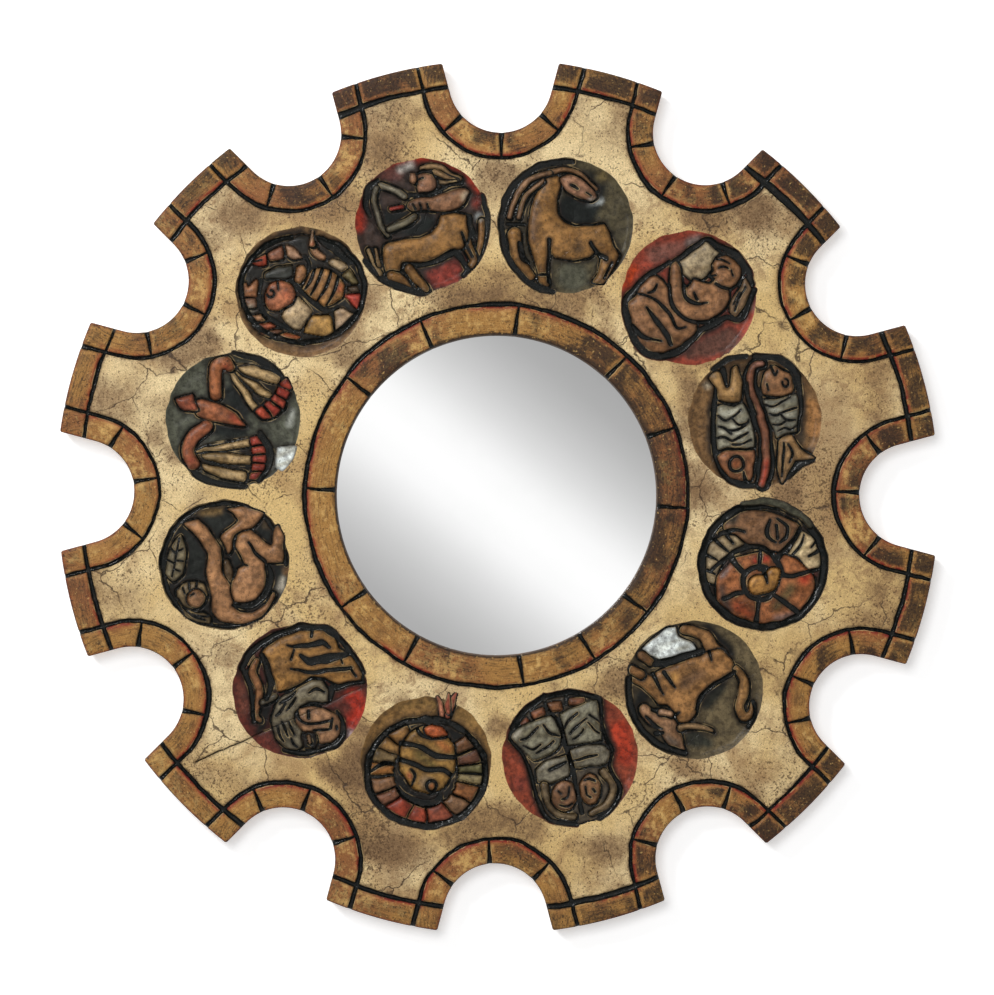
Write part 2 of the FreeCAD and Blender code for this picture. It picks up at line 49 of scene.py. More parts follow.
def waver(x, z, size, seed):
    span, shift = 97, 500.0  # cells before the wobble repeats, and a shift that keeps them positive
    lattice = np.random.RandomState(seed).uniform(-1.0, 1.0, (span, span))
    u, v = x / size + shift, z / size + shift
    i, j = np.floor(u).astype(int), np.floor(v).astype(int)
    u, v = u - i, v - j
    u, v = u * u * (3.0 - 2.0 * u), v * v * (3.0 - 2.0 * v)
    i, j, iNext, jNext = i % span, j % span, (i + 1) % span, (j + 1) % span
    low = lattice[i, j] * (1.0 - u) + lattice[iNext, j] * u
    high = lattice[i, jNext] * (1.0 - u) + lattice[iNext, jNext] * u
    return low * (1.0 - v) + high * v


def pot(red, green, blue):  # paint pot, screen colour to light
    linear = []
    for value in (red, green, blue):
        value = value / 255.0
        linear.append(value / 12.92 if value <= 0.04045 else ((value + 0.055) / 1.055) ** 2.4)
    return tuple(linear)


# carved panel, mm: x to the right, z up, heights from the flat face
panel = {
    "face": 30.0, "back": 6.0,          # distance from the wall
    "sight": 127.0, "rebate": 134.0, "rebateFloor": 12.0,
    "jointAngle": 26.0, "jointOff": 85.0,
    "ring": 24.0, "notchBand": 20.0, "tipBand": 19.0,
    "groove": 2.0, "grooveDepth": 2.6,
    "notch": 41.0, "flare": 15.0, "corner": 1.0,
}
flareSin, flareCos = math.sin(math.radians(panel["flare"])), math.cos(math.radians(panel["flare"]))
jointSin = math.sin(math.radians(panel["jointAngle"]))
jointCos = math.cos(math.radians(panel["jointAngle"]))

# how the knife went and how the board has worn, mm
knife = {
    "sway": 0.7, "shake": 0.3,                      # grooves wander slowly and tremble
    "notchCut": (2.2, 0.7), "ringCut": (2.1, 0.8),  # cuts across the bands, wide end and thin end
    "shoulder": 0.55, "edge": 1.3,                  # worn down beside the cuts and along the edges
    "openJoint": ((-237.5, -209.9), (-95.7, -146.9)),  # glue joint that has opened at the lower left
    "scrape": ((-245.4, 155.6), (-219.4, 162.7)),
}

# hand cut notches clockwise from the top: floor radius, slip sideways, angles of the three cuts
notches = [
    (286.0, 3.2, (-48, 1, 49)), (288.5, -0.4, (-49, -4, 49)), (288.5, -2.2, (-52, -2, 48)),
    (286.0, -0.15, (-53, -3, 52)), (291.0, 0.15, (-51, 6, 43)), (290.0, -1.0, (-47, -3, 45)),
    (290.0, 1.1, (-46, 5, 54)), (291.5, 2.2, (-42, 9, 53)), (288.2, 5.1, (-43, 7, 53)),
    (285.5, 3.15, (-38, 10, 58)), (289.2, 4.7, (-49, 4, 52)), (287.5, 0.85, (-47, 5, 57)),
]
toothTips = [344.0, 344.0, 348.8, 349.0, 347.0, 345.5, 345.8, 347.0, 346.0, 347.6, 345.1, 343.0]
ringCuts = [6.8, 43.0, 69.0, 94.0, 128.0, 149.0, 172.0, 209.0, 234.0, 272.0, 308.5, 336.5]

# grimy places on the field: x, z, half width, half height, strength
grime = [
    (3.0, 158.0, 62.0, 26.0, 0.85), (-102.0, 150.0, 22.0, 16.0, 0.7), (-88.0, 276.0, 30.0, 24.0, 0.8),
    (-128.0, 232.0, 20.0, 20.0, 0.7), (-202.0, 218.0, 26.0, 18.0, 0.7), (168.0, 222.0, 24.0, 14.0, 0.8),
    (208.0, 224.0, 24.0, 16.0, 0.9), (112.0, 172.0, 14.0, 26.0, 0.6), (150.0, 72.0, 16.0, 34.0, 0.75),
    (158.0, 4.0, 18.0, 20.0, 0.65), (268.0, -120.0, 16.0, 20.0, 0.5), (84.0, -276.0, 26.0, 18.0, 0.7),
    (-2.0, -260.0, 36.0, 18.0, 0.85), (-116.0, -214.0, 24.0, 36.0, 1.0), (-84.0, -276.0, 36.0, 24.0, 0.95),
    (-214.0, -128.0, 22.0, 14.0, 0.5), (-246.0, 150.0, 18.0, 14.0, 0.5), (148.0, -216.0, 20.0, 14.0, 0.6),
]


def notchPlace(k, x, z):  # sideways and outwards from the middle of notch k
    turn = math.radians(30.0 * k)
    side = x * math.cos(turn) - z * math.sin(turn) - notches[k][1]
    out = x * math.sin(turn) + z * math.cos(turn) - notches[k][0] - panel["notch"]
    return side, out


def notchGap(k, x, z):
    side, out = notchPlace(k, x, z)
    straight = np.abs(side) * flareCos - out * flareSin - panel["notch"]
    onFlank = out * flareCos + np.abs(side) * flareSin > 0.0
    return np.where(onFlank, straight, np.hypot(side, out) - panel["notch"])


def taperGap(x, z, start, end, wide, thin):  # a cut that runs out thin
    dx, dz = end[0] - start[0], end[1] - start[1]
    t = np.clip(((x - start[0]) * dx + (z - start[1]) * dz) / (dx * dx + dz * dz), 0.0, 1.0)
    return np.hypot(x - start[0] - t * dx, z - start[1] - t * dz) - wide - (thin - wide) * t


def bandCut(x, z, angle, inner, outer, ends):  # straight cut across a band
    ax, az = math.sin(math.radians(angle)), math.cos(math.radians(angle))
    return taperGap(x, z, (ax * inner, az * inner), (ax * outer, az * outer), *ends)


def carveBoard(x, z):
    reach = np.hypot(x, z)
    clock = np.degrees(np.arctan2(x, z)) % 360.0
    tip = np.array(toothTips)[(clock // 30.0).astype(int) % 12]
    gaps = np.array([notchGap(k, x, z) for k in range(12)])
    near = np.argmin(gaps, axis=0)
    edge = np.minimum(gaps.min(axis=0), tip - reach)
    sightGap = reach - panel["sight"]
    # grooves and cuts follow the knife, not the compass
    wx = x + knife["sway"] * waver(x, z, 17.0, 3) + knife["shake"] * waver(x, z, 5.0, 4)
    wz = z + knife["sway"] * waver(x, z, 17.0, 5) + knife["shake"] * waver(x, z, 5.0, 6)
    wReach = np.hypot(wx, wz)
    half = panel["groove"] * (1.0 + 0.3 * waver(x, z, 30.0, 7))
    notchEdge = np.full(x.shape, far)
    cuts = np.full(x.shape, far)
    grain = np.stack([reach * np.radians(clock), reach, np.zeros(x.shape)], axis=1)
    for k in range(12):
        close = near == k
        side, out = notchPlace(k, wx[close], wz[close])
        notchEdge[close] = notchGap(k, wx[close], wz[close])
        for angle in notches[k][2]:
            cut = bandCut(side, -out, angle, panel["notch"] - 1.0, panel["notch"] + panel["notchBand"],
                          knife["notchCut"])
            cuts[close] = np.minimum(cuts[close], cut)
        # the brush went round each notch
        onBand = gaps[k][close] < panel["notchBand"]
        turned = np.stack([np.arctan2(side, -out) * 52.0, np.hypot(side, out) + 700.0 + 90.0 * k,
                           np.zeros(side.shape)], axis=1)
        grain[close] = np.where(onBand[:, None], turned, grain[close])
    tipLine = tip - panel["tipBand"]
    ringLine = panel["sight"] + panel["ring"]
    for angle in ringCuts:
        cuts = np.minimum(cuts, bandCut(wx, wz, angle, panel["sight"] - 1.0, ringLine, knife["ringCut"]))
    ink = np.minimum(np.abs(notchEdge - panel["notchBand"]) - half * 0.85, cuts)
    heavy = half * (1.05 + 0.35 * waver(x, z, 75.0, 8))
    ink = np.minimum(ink, np.where(reach > 300.0, np.abs(wReach - tipLine) - heavy, far))
    ink = np.minimum(ink, np.abs(wReach - ringLine) - half * 0.85)
    ink = np.minimum(ink, taperGap(wx, wz, *knife["openJoint"], 0.5, 0.15))
    band = np.maximum(np.maximum(panel["notchBand"] - notchEdge, wReach - tipLine), ringLine - wReach)
    height = -panel["grooveDepth"] * np.sin(0.5 * np.pi * np.clip(-ink / 1.9, 0.0, 1.0)) ** 0.8
    height -= knife["shoulder"] * np.exp(-np.maximum(ink, 0.0) / 1.3)
    height -= knife["edge"] * np.exp(-np.maximum(np.minimum(edge, sightGap), 0.0) / 1.1)
    height += 0.3 * waver(x, z, 42.0, 11) + 0.16 * waver(x, z, 13.0, 12) + 0.07 * waver(x, z, 4.5, 13)
    board = {"edge": edge, "sightGap": sightGap, "ink": ink, "band": band, "height": height, "grain": grain}
    board.update(weatherBoard(x, z, board, wReach - tipLine, ringLine - wReach))
    return board


def weatherBoard(x, z, board, intoTip, intoRing):
    reach = np.hypot(x, z)
    ink, edge, band, sightGap = board["ink"], board["edge"], board["band"], board["sightGap"]
    # red under-paint shows along the groove side of the bands and on the rim
    patchy = 0.5 + 0.5 * waver(x, z, 34.0, 21)
    red = np.exp(-np.maximum(band - 2.0, 0.0) / 1.9)
    red = np.maximum(red, 0.6 * np.exp(-np.maximum(edge - 0.4, 0.0) / 0.9))
    red = np.minimum(1.25 * red, 1.0) * rise(patchy, 0.16, 0.50)
    # soot sits in the tooth ends
    blockMiddle = rise(np.minimum(np.minimum(ink, edge + 1.5), 9.0), 0.2, 4.5)
    sootAndShade = np.maximum(blockMiddle * rise(intoTip, 0.0, 3.0) * (0.85 + 0.35 * waver(x, z, 9.0, 22)),
                      blockMiddle * rise(waver(x, z, 26.0, 23) + 0.5 * waver(x, z, 8.0, 26), -0.4, 0.9))
    sootAndShade *= 0.42 + 0.66 * rise(x + 0.6 * z, -260.0, 40.0)  # less soot towards the left
    # painted shade: the ring darkens towards the right, away from the light
    ringShade = 0.6 * rise(x / reach + 0.4 * waver(x, z, 30.0, 27), -0.1, 1.1)
    sootAndShade = np.clip(np.maximum(sootAndShade, rise(intoRing, 0.0, 2.0) * ringShade), 0.0, 1.0)
    sootAndShade += 2.0 * np.exp(-np.maximum(sightGap, 0.0) / (1.0 + 0.5 * x / reach))  # painted shadow: black line at the glass, wider on the right
    sootAndShade += 0.8 * np.exp(-np.maximum(edge, 0.0) / 0.8)  # handled dark at the rim
    # grime on the field: by the bands, between the medallions, in a few known places, out on the teeth
    dirt = 0.7 * rise(waver(x, z, 38.0, 24) + 0.5 * waver(x, z, 15.0, 25), 0.1, 1.1)
    dirt = np.maximum(dirt, 0.7 * np.exp(-np.maximum(-band, 0.0) / 6.0) * rise(patchy, 0.2, 0.8))
    for spotX, spotZ, wide, high, strength in grime:
        away = np.hypot((x - spotX) / wide, (z - spotZ) / high) + 0.5 * waver(x + z, z - 0.3 * x, 22.0, 28)
        dirt = np.maximum(dirt, strength * (1.0 - rise(away, 0.1, 1.6)))
    dirt = np.maximum(dirt, (0.42 + 0.25 * waver(x, z, 20.0, 29)) * rise(reach, 262.0, 312.0))
    return {"red": red, "sootAndShade": sootAndShade, "dirt": dirt, "scrape": taperGap(x, z, *knife["scrape"], 0.45, 0.2)}


# medallion drawing: limbs, patches, gouges and stains in hundredths of the disc radius
def limb(colour, *points, line=2.2):
    return ("limb", colour, line, points)


def patch(colour, *points, line=2.2):
    return ("patch", colour, line, points)


def gouge(*points):  # never thinner than the tool
    return ("gouge", None, 0.0, [(x, y, max(width, 1.5)) for x, y, width in points])


def stain(colour, *points):
    return ("stain", colour, 0.0, points)


def around(x, y, wide, high, turns):  # points on an oval, clockwise from the top
    return [(x + wide * math.sin(t), y + high * math.cos(t)) for t in np.radians(turns)]


def sweep(x, y, wide, high, start, end, width):  # gouge points along an oval
    turns = np.linspace(start, end, 2 + int(abs(end - start) / 24.0))
    return [point + (width,) for point in around(x, y, wide, high, turns)]


def oval(x, y, wide, high):
    return around(x, y, wide, high, np.arange(0.0, 360.0, 36.0))


def cells(x, y, inner, outer, parts):  # a ring of carved cells between two ovals
    ring = []
    for start, end, colour in parts:
        turns = np.linspace(start, end, 4)
        points = around(x, y, *inner, turns) + around(x, y, *outer, turns)[::-1]
        ring.append(patch(colour, *points, line=1.6))
    return ring


def smoothLine(points, closed, steps):
    p = np.array(points, dtype=float)
    n = len(p)
    pull = 0.22 if closed else 0.5  # patches keep their corners, limbs bend softly
    line = []
    for i in range(n if closed else n - 1):
        if closed:
            a, b, c, d = p[i - 1], p[i], p[(i + 1) % n], p[(i + 2) % n]
        else:
            a, b, c, d = p[max(i - 1, 0)], p[i], p[i + 1], p[min(i + 2, n - 1)]
        for t in np.arange(steps) / steps:
            turn, leave, arrive = 3.0 * t * t - 2.0 * t ** 3, t ** 3 - 2.0 * t * t + t, t ** 3 - t * t
            line.append(b + (c - b) * turn + pull * ((c - a) * leave + (d - b) * arrive))
    if not closed:
        line.append(p[-1])
    return np.array(line)


def limbGap(u, v, points):
    line = smoothLine(points, False, 4)
    gap = np.hypot(u - line[0, 0], v - line[0, 1]) - line[0, 2]
    for start, end in zip(line[:-1], line[1:]):
        gap = np.minimum(gap, taperGap(u, v, start[:2], end[:2] + 0.001, start[2], end[2]))
    return gap


def patchGap(u, v, points):
    line = smoothLine(points, True, 3)
    gap = np.full(u.shape, far)
    inside = np.zeros(u.shape, dtype=bool)
    for start, end in zip(line, np.roll(line, -1, axis=0)):
        gap = np.minimum(gap, taperGap(u, v, start, end + 0.001, 0.0, 0.0))
        crossing = (start[1] > v) != (end[1] > v)
        meet = (end[0] - start[0]) * (v - start[1]) / (end[1] - start[1] + 1e-9) + start[0]
        inside ^= crossing & (u < meet)
    return np.where(inside, -gap, gap)


# how a medallion is cut, mm: size of a hundredth, reach of the figures, depths, then how bright the paint is
medallion = {
    "unit": 0.5238, "reach": 60.0, "dish": 2.8, "proud": 0.3, "cutDepth": 1.7, "bright": 1.12, "wobble": 1.3,
    "shadowBite": 1.8,                      # cuts are wider below and to the right, painted shadow
    "brush": (0.26, 0.30, 0.38),      # how much red, green and blue a dark brush streak takes away
}


def carveMedallion(sign, x, z):
    unit, swell, shadowBite = medallion["unit"], sign["swell"], medallion["shadowBite"]
    u, v = (x - sign["at"][0]) / unit, (z - sign["at"][1]) / unit
    u, v = u + medallion["wobble"] * waver(u, v, 14.0, 31), v + medallion["wobble"] * waver(u, v, 14.0, 32)
    disc = sign["size"] - np.hypot(u, v)
    cover = disc.copy()
    paint = np.tile(np.array(sign["ground"]), (len(u), 1))
    ink, depth = np.full(u.shape, 90.0), np.zeros(u.shape)
    pressure = 1.0 + 0.5 * waver(u, v, 22.0, 38)  # the knife bites thick and thin
    for kind, colour, line, points in sign["strokes"]:
        reach = 15.0 + max(p[2] if kind != "patch" else 0.0 for p in points)
        across, along = [p[0] for p in points], [p[1] for p in points]
        near = (u > min(across) - reach) & (u < max(across) + reach)
        near &= (v > min(along) - reach) & (v < max(along) + reach)
        gapFor = patchGap if kind == "patch" else limbGap
        gap = gapFor(u[near], v[near], points)
        if kind == "stain":
            share = rise(-gap, -9.0, 5.0)[:, None]
            paint[near] = paint[near] * (1.0 - share) + np.array(colour) * share
        elif kind == "gouge":
            ink[near] = np.minimum(ink[near], gap)
            cover[near] = np.maximum(cover[near], np.minimum(1.5 - gap, 4.0))
        else:
            gap -= swell
            cut = gap - line * pressure[near]
            if line > 0.0:
                # painted shadow: the black cut is widened towards the lower right
                low = gapFor(u[near] - shadowBite, v[near] + shadowBite, points)
                cut = np.minimum(cut, low - swell - 0.5 * line)
            ink[near] = np.maximum(np.minimum(ink[near], cut), -gap)
            paint[near] = np.where((gap < 0.5 * line)[:, None], np.array(colour), paint[near])
            depth[near] = np.where(gap < 0.0, -gap, depth[near])
            cover[near] = np.maximum(cover[near], np.minimum(line - gap, 6.0))
    ink, depth = ink * unit, depth * unit
    ink -= 0.1 + 0.25 * waver(u, v, 17.0, 35)
    dish = medallion["dish"] * rise(disc, -1.0, 10.0)
    height = -dish + (dish + medallion["proud"]) * (1.0 - np.exp(-depth / 2.0))
    height -= medallion["cutDepth"] * rise(-ink, -0.4, 1.3)
    height += (0.2 * waver(u, v, 11.0, 33) + 0.1 * waver(u, v, 5.0, 34)) * rise(ink, 0.0, 1.0)
    # painted shade in the ground beside the figures and on figure edges, random brightening, brush streaks
    onFigure = rise(depth, 0.0, 0.4)
    worn = ink + 0.7 * waver(u, v, 12.0, 39)
    paintedShade = onFigure * (0.55 + 0.45 * rise(worn, -0.4, 2.4))
    paintedShade += (1.0 - onFigure) * (0.3 + 0.7 * rise(worn, 0.0, 5.0))
    rubbed = medallion["bright"] + 0.3 * onFigure * waver(u, v, 15.0, 36) + 0.15 * waver(u, v, 30.0, 37)
    streak = onFigure * rise(waver(0.4 * u + 0.3 * v, 1.6 * v - 0.5 * u, 12.0, 40), 0.05, 0.8)
    paint = paint * (paintedShade * rubbed)[:, None] * (1.0 - streak[:, None] * np.array(medallion["brush"]))
    return {"ink": ink, "cover": cover * unit, "paint": paint, "height": height}


# paint pots for the medallions
ochre, tan, brown, darkBrown = pot(120, 86, 47), pot(138, 99, 67), pot(104, 76, 52), pot(84, 62, 38)
grey, cream, olive, night = pot(112, 108, 92), pot(160, 134, 96), pot(70, 63, 45), pot(16, 20, 18)
# paintedGlare is painted reflection: glare on the varnish laid on as colour
slate, paintedGlare, black, orange = pot(72, 71, 58), pot(208, 214, 214), pot(17, 17, 15), pot(156, 86, 44)

medallions = []

# archer
medallions.append({
    "at": (-58.7, 213.1), "size": 100.0, "swell": 0.6, "ground": pot(52, 38, 32), "strokes": [
        stain(pot(140, 44, 28), (-97, 0, 8), (-92, 35, 9), (-80, 65, 9), (-55, 88, 7), (-10, 99, 4),
              (60, 82, 4), (92, 40, 3)),
        stain(pot(84, 50, 44), (-55, 72, 12), (-38, 78, 8)),
        stain(pot(120, 50, 40), (84, 34, 6)),
        stain(pot(120, 46, 36), (20, -80, 12), (45, -72, 15), (60, -60, 9)),
        stain(night, (-45, 10, 16), (-10, 0, 18), (12, 4, 9)),
        stain(pot(176, 170, 164), (-32, 84, 2), (-18, 92, 3)),
        gouge((62, -75, 4), (85, -50, 4), (97, -15, 4), (98, 15, 4), (90, 45, 3)),
        gouge((-85, -55, 4), (-60, -80, 5), (-30, -95, 5), (0, -102, 5), (12, -98, 4)),
        gouge((-66, 68, 2.5), (-80, 56, 4), (-85, 34, 4.5), (-78, 14, 3)),
        limb(pot(128, 92, 54), (89, 6, 4), (89, -15, 5), (84, -44, 3.5)),
        limb(ochre, (62, -15, 10), (70, -35, 7), (78, -52, 5), (74, -60, 5)),
        patch(ochre, (-57, -34), (-48, -27), (-24, -22), (-2, -19), (14, -11), (24, 0), (29, 13), (48, 18),
              (65, 14), (70, -2), (70, -18), (62, -35), (50, -38), (30, -44), (8, -53), (-8, -56),
              (-29, -56), (-33, -68), (-36, -73), (-53, -73), (-57, -54)),
        gouge((-28, -60, 3), (-8, -60, 4), (20, -54, 4.5), (45, -42, 5), (54, -46, 5), (70, -68, 4)),
        limb(ochre, (-45, -76, 7), (-28, -82, 7), (-12, -92, 4.5)),
        limb(ochre, (-19, -66, 6), (-8, -80, 6.5), (7, -96, 4)),
        gouge((-30, -70, 2.5), (-18, -84, 2.5), (-12, -97, 3)),
        limb(cream, (-80, -38, 2.5), (-73, -55, 2.5), (-62, -74, 2.5), line=2.0),
        limb(pot(136, 108, 74), (-70, -36, 2.2), (-64, -60, 2.2), line=2.0),
        gouge((60, -12, 2), (68, -32, 2.5), (76, -48, 2)),
        gouge((70, 12, 4), (76, -10, 4.5), (80, -18, 2.5)),
        limb(pot(142, 114, 80), (0, 86, 3), (14, 89, 3.5), (31, 85, 3.5), (44, 75, 3.5), (57, 69, 2.5),
             line=1.6),
        limb(pot(134, 106, 74), (18, 81, 3), (34, 74, 3.5), (52, 66, 2.5), line=1.6),
        limb(pot(128, 108, 82), (25, 66, 3.5), (38, 64, 3), (50, 65, 2), line=1.6),
        patch(pot(126, 90, 68), (-8, 75), (2, 79), (14, 78), (21, 68), (20, 57), (8, 47), (-4, 48),
              (-8, 56), (-5, 63)),
        patch(pot(134, 98, 74), (-17, 79), (-10, 78), (-8, 68), (-13, 62), (-18, 66), line=1.6),
        gouge((-6, 78, 2.4), (4, 82, 2.8), (15, 79, 2)),
        gouge((-4, 68, 1.5), (2, 70, 1.8)),
        patch(pot(110, 78, 56), (-20, 35), (-11, 40), (14, 42), (37, 49), (54, 55), (66, 56), (72, 51),
              (65, 37), (56, 27), (42, 21), (22, 21), (3, 23), (-14, 21), (-21, 27)),
        # painted highlights on the arm
        stain(pot(172, 158, 140), (62, 42, 1), (68, 48, 1)),
        gouge((-14, 32, 1.5), (-10, 24, 1.8)),
        gouge((-4, 32, 1.5), (-2, 24, 1.6)),
        gouge((8, 32, 1.5), (10, 25, 2.2)),
        gouge((-20, 46, 3), (0, 46, 3), (20, 50, 3.5), (42, 60, 3.5), (60, 63, 3)),
        limb(pot(112, 106, 92), (-62, 60, 4), (-45, 54, 4.5), (-26, 44, 4)),
        limb(pot(104, 98, 84), (-69, 56, 3.5), (-73, 40, 3.5), (-68, 20, 3.5), (-62, 0, 3.5),
             (-51, -16, 3)),
        limb(pot(96, 90, 74), (-49, -6, 4.5), (-28, 3, 5), (-11, 13, 4)),
        limb(pot(146, 50, 40), (-46, 24, 3), (-29, 28, 3), line=1.6),
        # painted highlight on the tail
        stain(paintedGlare, (85, 11, 2)),
    ]})

# goat
medallions.append({
    "at": (54.7, 212.3), "size": 101.0, "swell": 0.5, "ground": olive, "strokes": [
        stain(night, (10, 25, 22), (25, 10, 16), (40, 60, 20)),
        stain(pot(86, 74, 46), (55, 75, 8)),
        stain(slate, (10, -75, 20)),
        gouge((10, 97, 4), (-25, 95, 4.5), (-60, 78, 4.5), (-88, 45, 4.5), (-97, 5, 4.5), (-92, -35, 4.5),
              (-75, -65, 4.5), (-45, -92, 4.5), (-20, -100, 3)),
        limb(ochre, (-78, -12, 10), (-74, -40, 9), (-62, -62, 7), (-52, -76, 5)),
        gouge((-70, -25, 3), (-65, -45, 5), (-56, -54, 3)),
        patch(ochre, (-38, 62), (-48, 40), (-56, 10), (-56, -20), (-48, -45), (-43, -70), (-40, -85),
              (-28, -92), (-24, -85), (-28, -60), (-22, -40), (-15, -47), (10, -50), (35, -46), (45, -38),
              (52, -50), (48, -70), (40, -85), (55, -86), (70, -65), (80, -45), (72, -30), (66, -10),
              (58, 3), (40, 0), (15, 0), (-2, 6), (-12, 18), (-14, 40), (-8, 62), (-10, 75), (-25, 76)),
        stain(brown, (-48, 20, 3), (-48, -20, 3)),
        stain(darkBrown, (20, -34, 6)),
        gouge((-25, -22, 3), (-26, -50, 3), (-25, -85, 3)),
        gouge((38, -25, 3), (48, -42, 3), (60, -50, 4)),
        gouge((70, -55, 2), (57, -78, 2)),
        gouge((-40, -73, 2), (-28, -73, 2)),
        patch(pot(132, 96, 74), (-8, 72), (8, 79), (25, 71), (42, 54), (46, 44), (37, 38), (23, 41),
              (3, 52), (-5, 62)),
        gouge((8, 62, 1.5), (13, 60, 2.4), (18, 56, 1.5)),
        gouge((30, 50, 1.2), (38, 46, 1.6)),
        # painted highlight at the muzzle
        stain(paintedGlare, (38, 36, 1), (50, 38, 1)),
        limb(pot(130, 96, 66), (-22, 82, 4), (-2, 86, 3.5), (23, 78, 2.5), (46, 55, 2)),
        limb(pot(140, 106, 78), (-24, 80, 3.5), (-54, 70, 4), (-74, 47, 4), (-85, 15, 3.5)),
        limb(pot(136, 104, 78), (-34, 68, 3), (-54, 53, 3.5), (-65, 36, 3.5), (-71, 13, 3)),
        gouge((-88, 3, 3), (-62, 3, 3)),
    ]})

# water carrier
medallions.append({
    "at": (151.6, 155.6), "size": 101.0, "swell": 0.0, "ground": pot(136, 58, 42), "strokes": [
        stain(pot(106, 64, 54), (-50, 66, 12), (-20, 74, 10), (10, 80, 8)),
        stain(pot(88, 56, 46), (60, -62, 16), (30, -72, 14), (0, -84, 6)),
        stain(pot(176, 62, 26), (-94, 20, 5), (-84, 44, 4)),
        stain(pot(144, 128, 122), (2, 84, 3), (14, 90, 2)),
        stain(pot(128, 110, 104), (92, -14, 3)),
        stain(black, (24, -48, 7), (44, -38, 6)),
        gouge((-26, 52, 4), (0, 70, 4.5), (27, 88, 4.5), (50, 76, 4.5), (72, 64, 5), (88, 42, 5),
              (95, 22, 4)),
        patch(pot(146, 130, 104), (-20, 50), (0, 64), (26, 84), (40, 74), (52, 64), (40, 54), (34, 40),
              (20, 28), (4, 24)),
        stain(pot(116, 98, 74), (6, 36, 4), (14, 44, 3)),
        patch(pot(126, 100, 74), (86, 30), (74, 12), (62, -8), (62, -22), (72, -28), (84, -10), (94, 14)),
        gouge((84, 16, 1.4), (76, 0, 1.6), (70, -20, 1.4)),
        gouge((76, 8, 1.2), (68, -10, 1.4)),
        patch(pot(128, 91, 62), (-27, 50), (-20, 55), (-13, 46), (-10, 22), (-2, 16), (8, 28), (22, 24),
              (33, 22), (39, 28), (33, 35), (38, 42), (35, 50), (44, 60), (56, 64), (70, 58), (78, 46),
              (78, 32), (70, 20), (60, 12), (62, 0), (56, -14), (44, -26), (26, -34), (14, -36), (12, -48),
              (-2, -62), (-18, -74), (-38, -83), (-60, -79), (-74, -66), (-86, -36), (-93, -8), (-80, 4),
              (-74, 16), (-62, 29), (-50, 34), (-38, 27), (-31, 12), (-28, 24), line=3.0),
        gouge((-30, 54, 3), (-48, 41, 4), (-66, 31, 4), (-84, 12, 4), (-97, -8, 4.5), (-92, -38, 4.5),
              (-79, -68, 4.5), (-61, -85, 5), (-36, -89, 4.5), (-14, -80, 4.5), (4, -64, 4.5),
              (18, -48, 4.5), (34, -41, 4.5), (58, -30, 4), (76, -33, 4), (89, -14, 4), (98, 12, 3.5)),
        gouge((-8, 20, 2.5), (-6, 4, 3), (4, -5, 3.5), (16, -8, 2.6), (27, -8, 1.5)),
        gouge((8, 8, 1.5), (13, -1, 2.6)),
        gouge((-30, 20, 2.5), (-28, -2, 3), (-20, -20, 3), (-4, -32, 3), (12, -36, 3.5), (30, -35, 3)),
        gouge((-76, 6, 2), (-58, 2, 2), (-42, -8, 2.5), (-30, -24, 2.5), (-18, -44, 2.5), (-6, -44, 1.5)),
        gouge((-64, -14, 1.5), (-52, -30, 3), (-36, -52, 4), (-26, -70, 3)),
        gouge((-84, -42, 3), (-70, -57, 4), (-54, -62, 2.5), (-42, -64, 1.5)),
        gouge((-62, 8, 1.5), (-53, 12, 2.4), (-48, 20, 1.5)),
        gouge((40, 21, 2), (50, 16, 2.2), (62, 13, 2)),
        gouge((42, 57, 1.5), (52, 57, 1.8), (62, 52, 1.5)),
        gouge((45, 46, 1.5), (52, 47, 2.0), (59, 44, 1.5)),
        gouge((33, 33, 1.8), (40, 34, 1.5)),
        gouge((64, 42, 1.5), (66, 34, 1.6)),
        gouge((46, 66, 2), (60, 68, 2.5), (76, 57, 3), (83, 40, 3), (76, 20, 2.5)),
    ]})

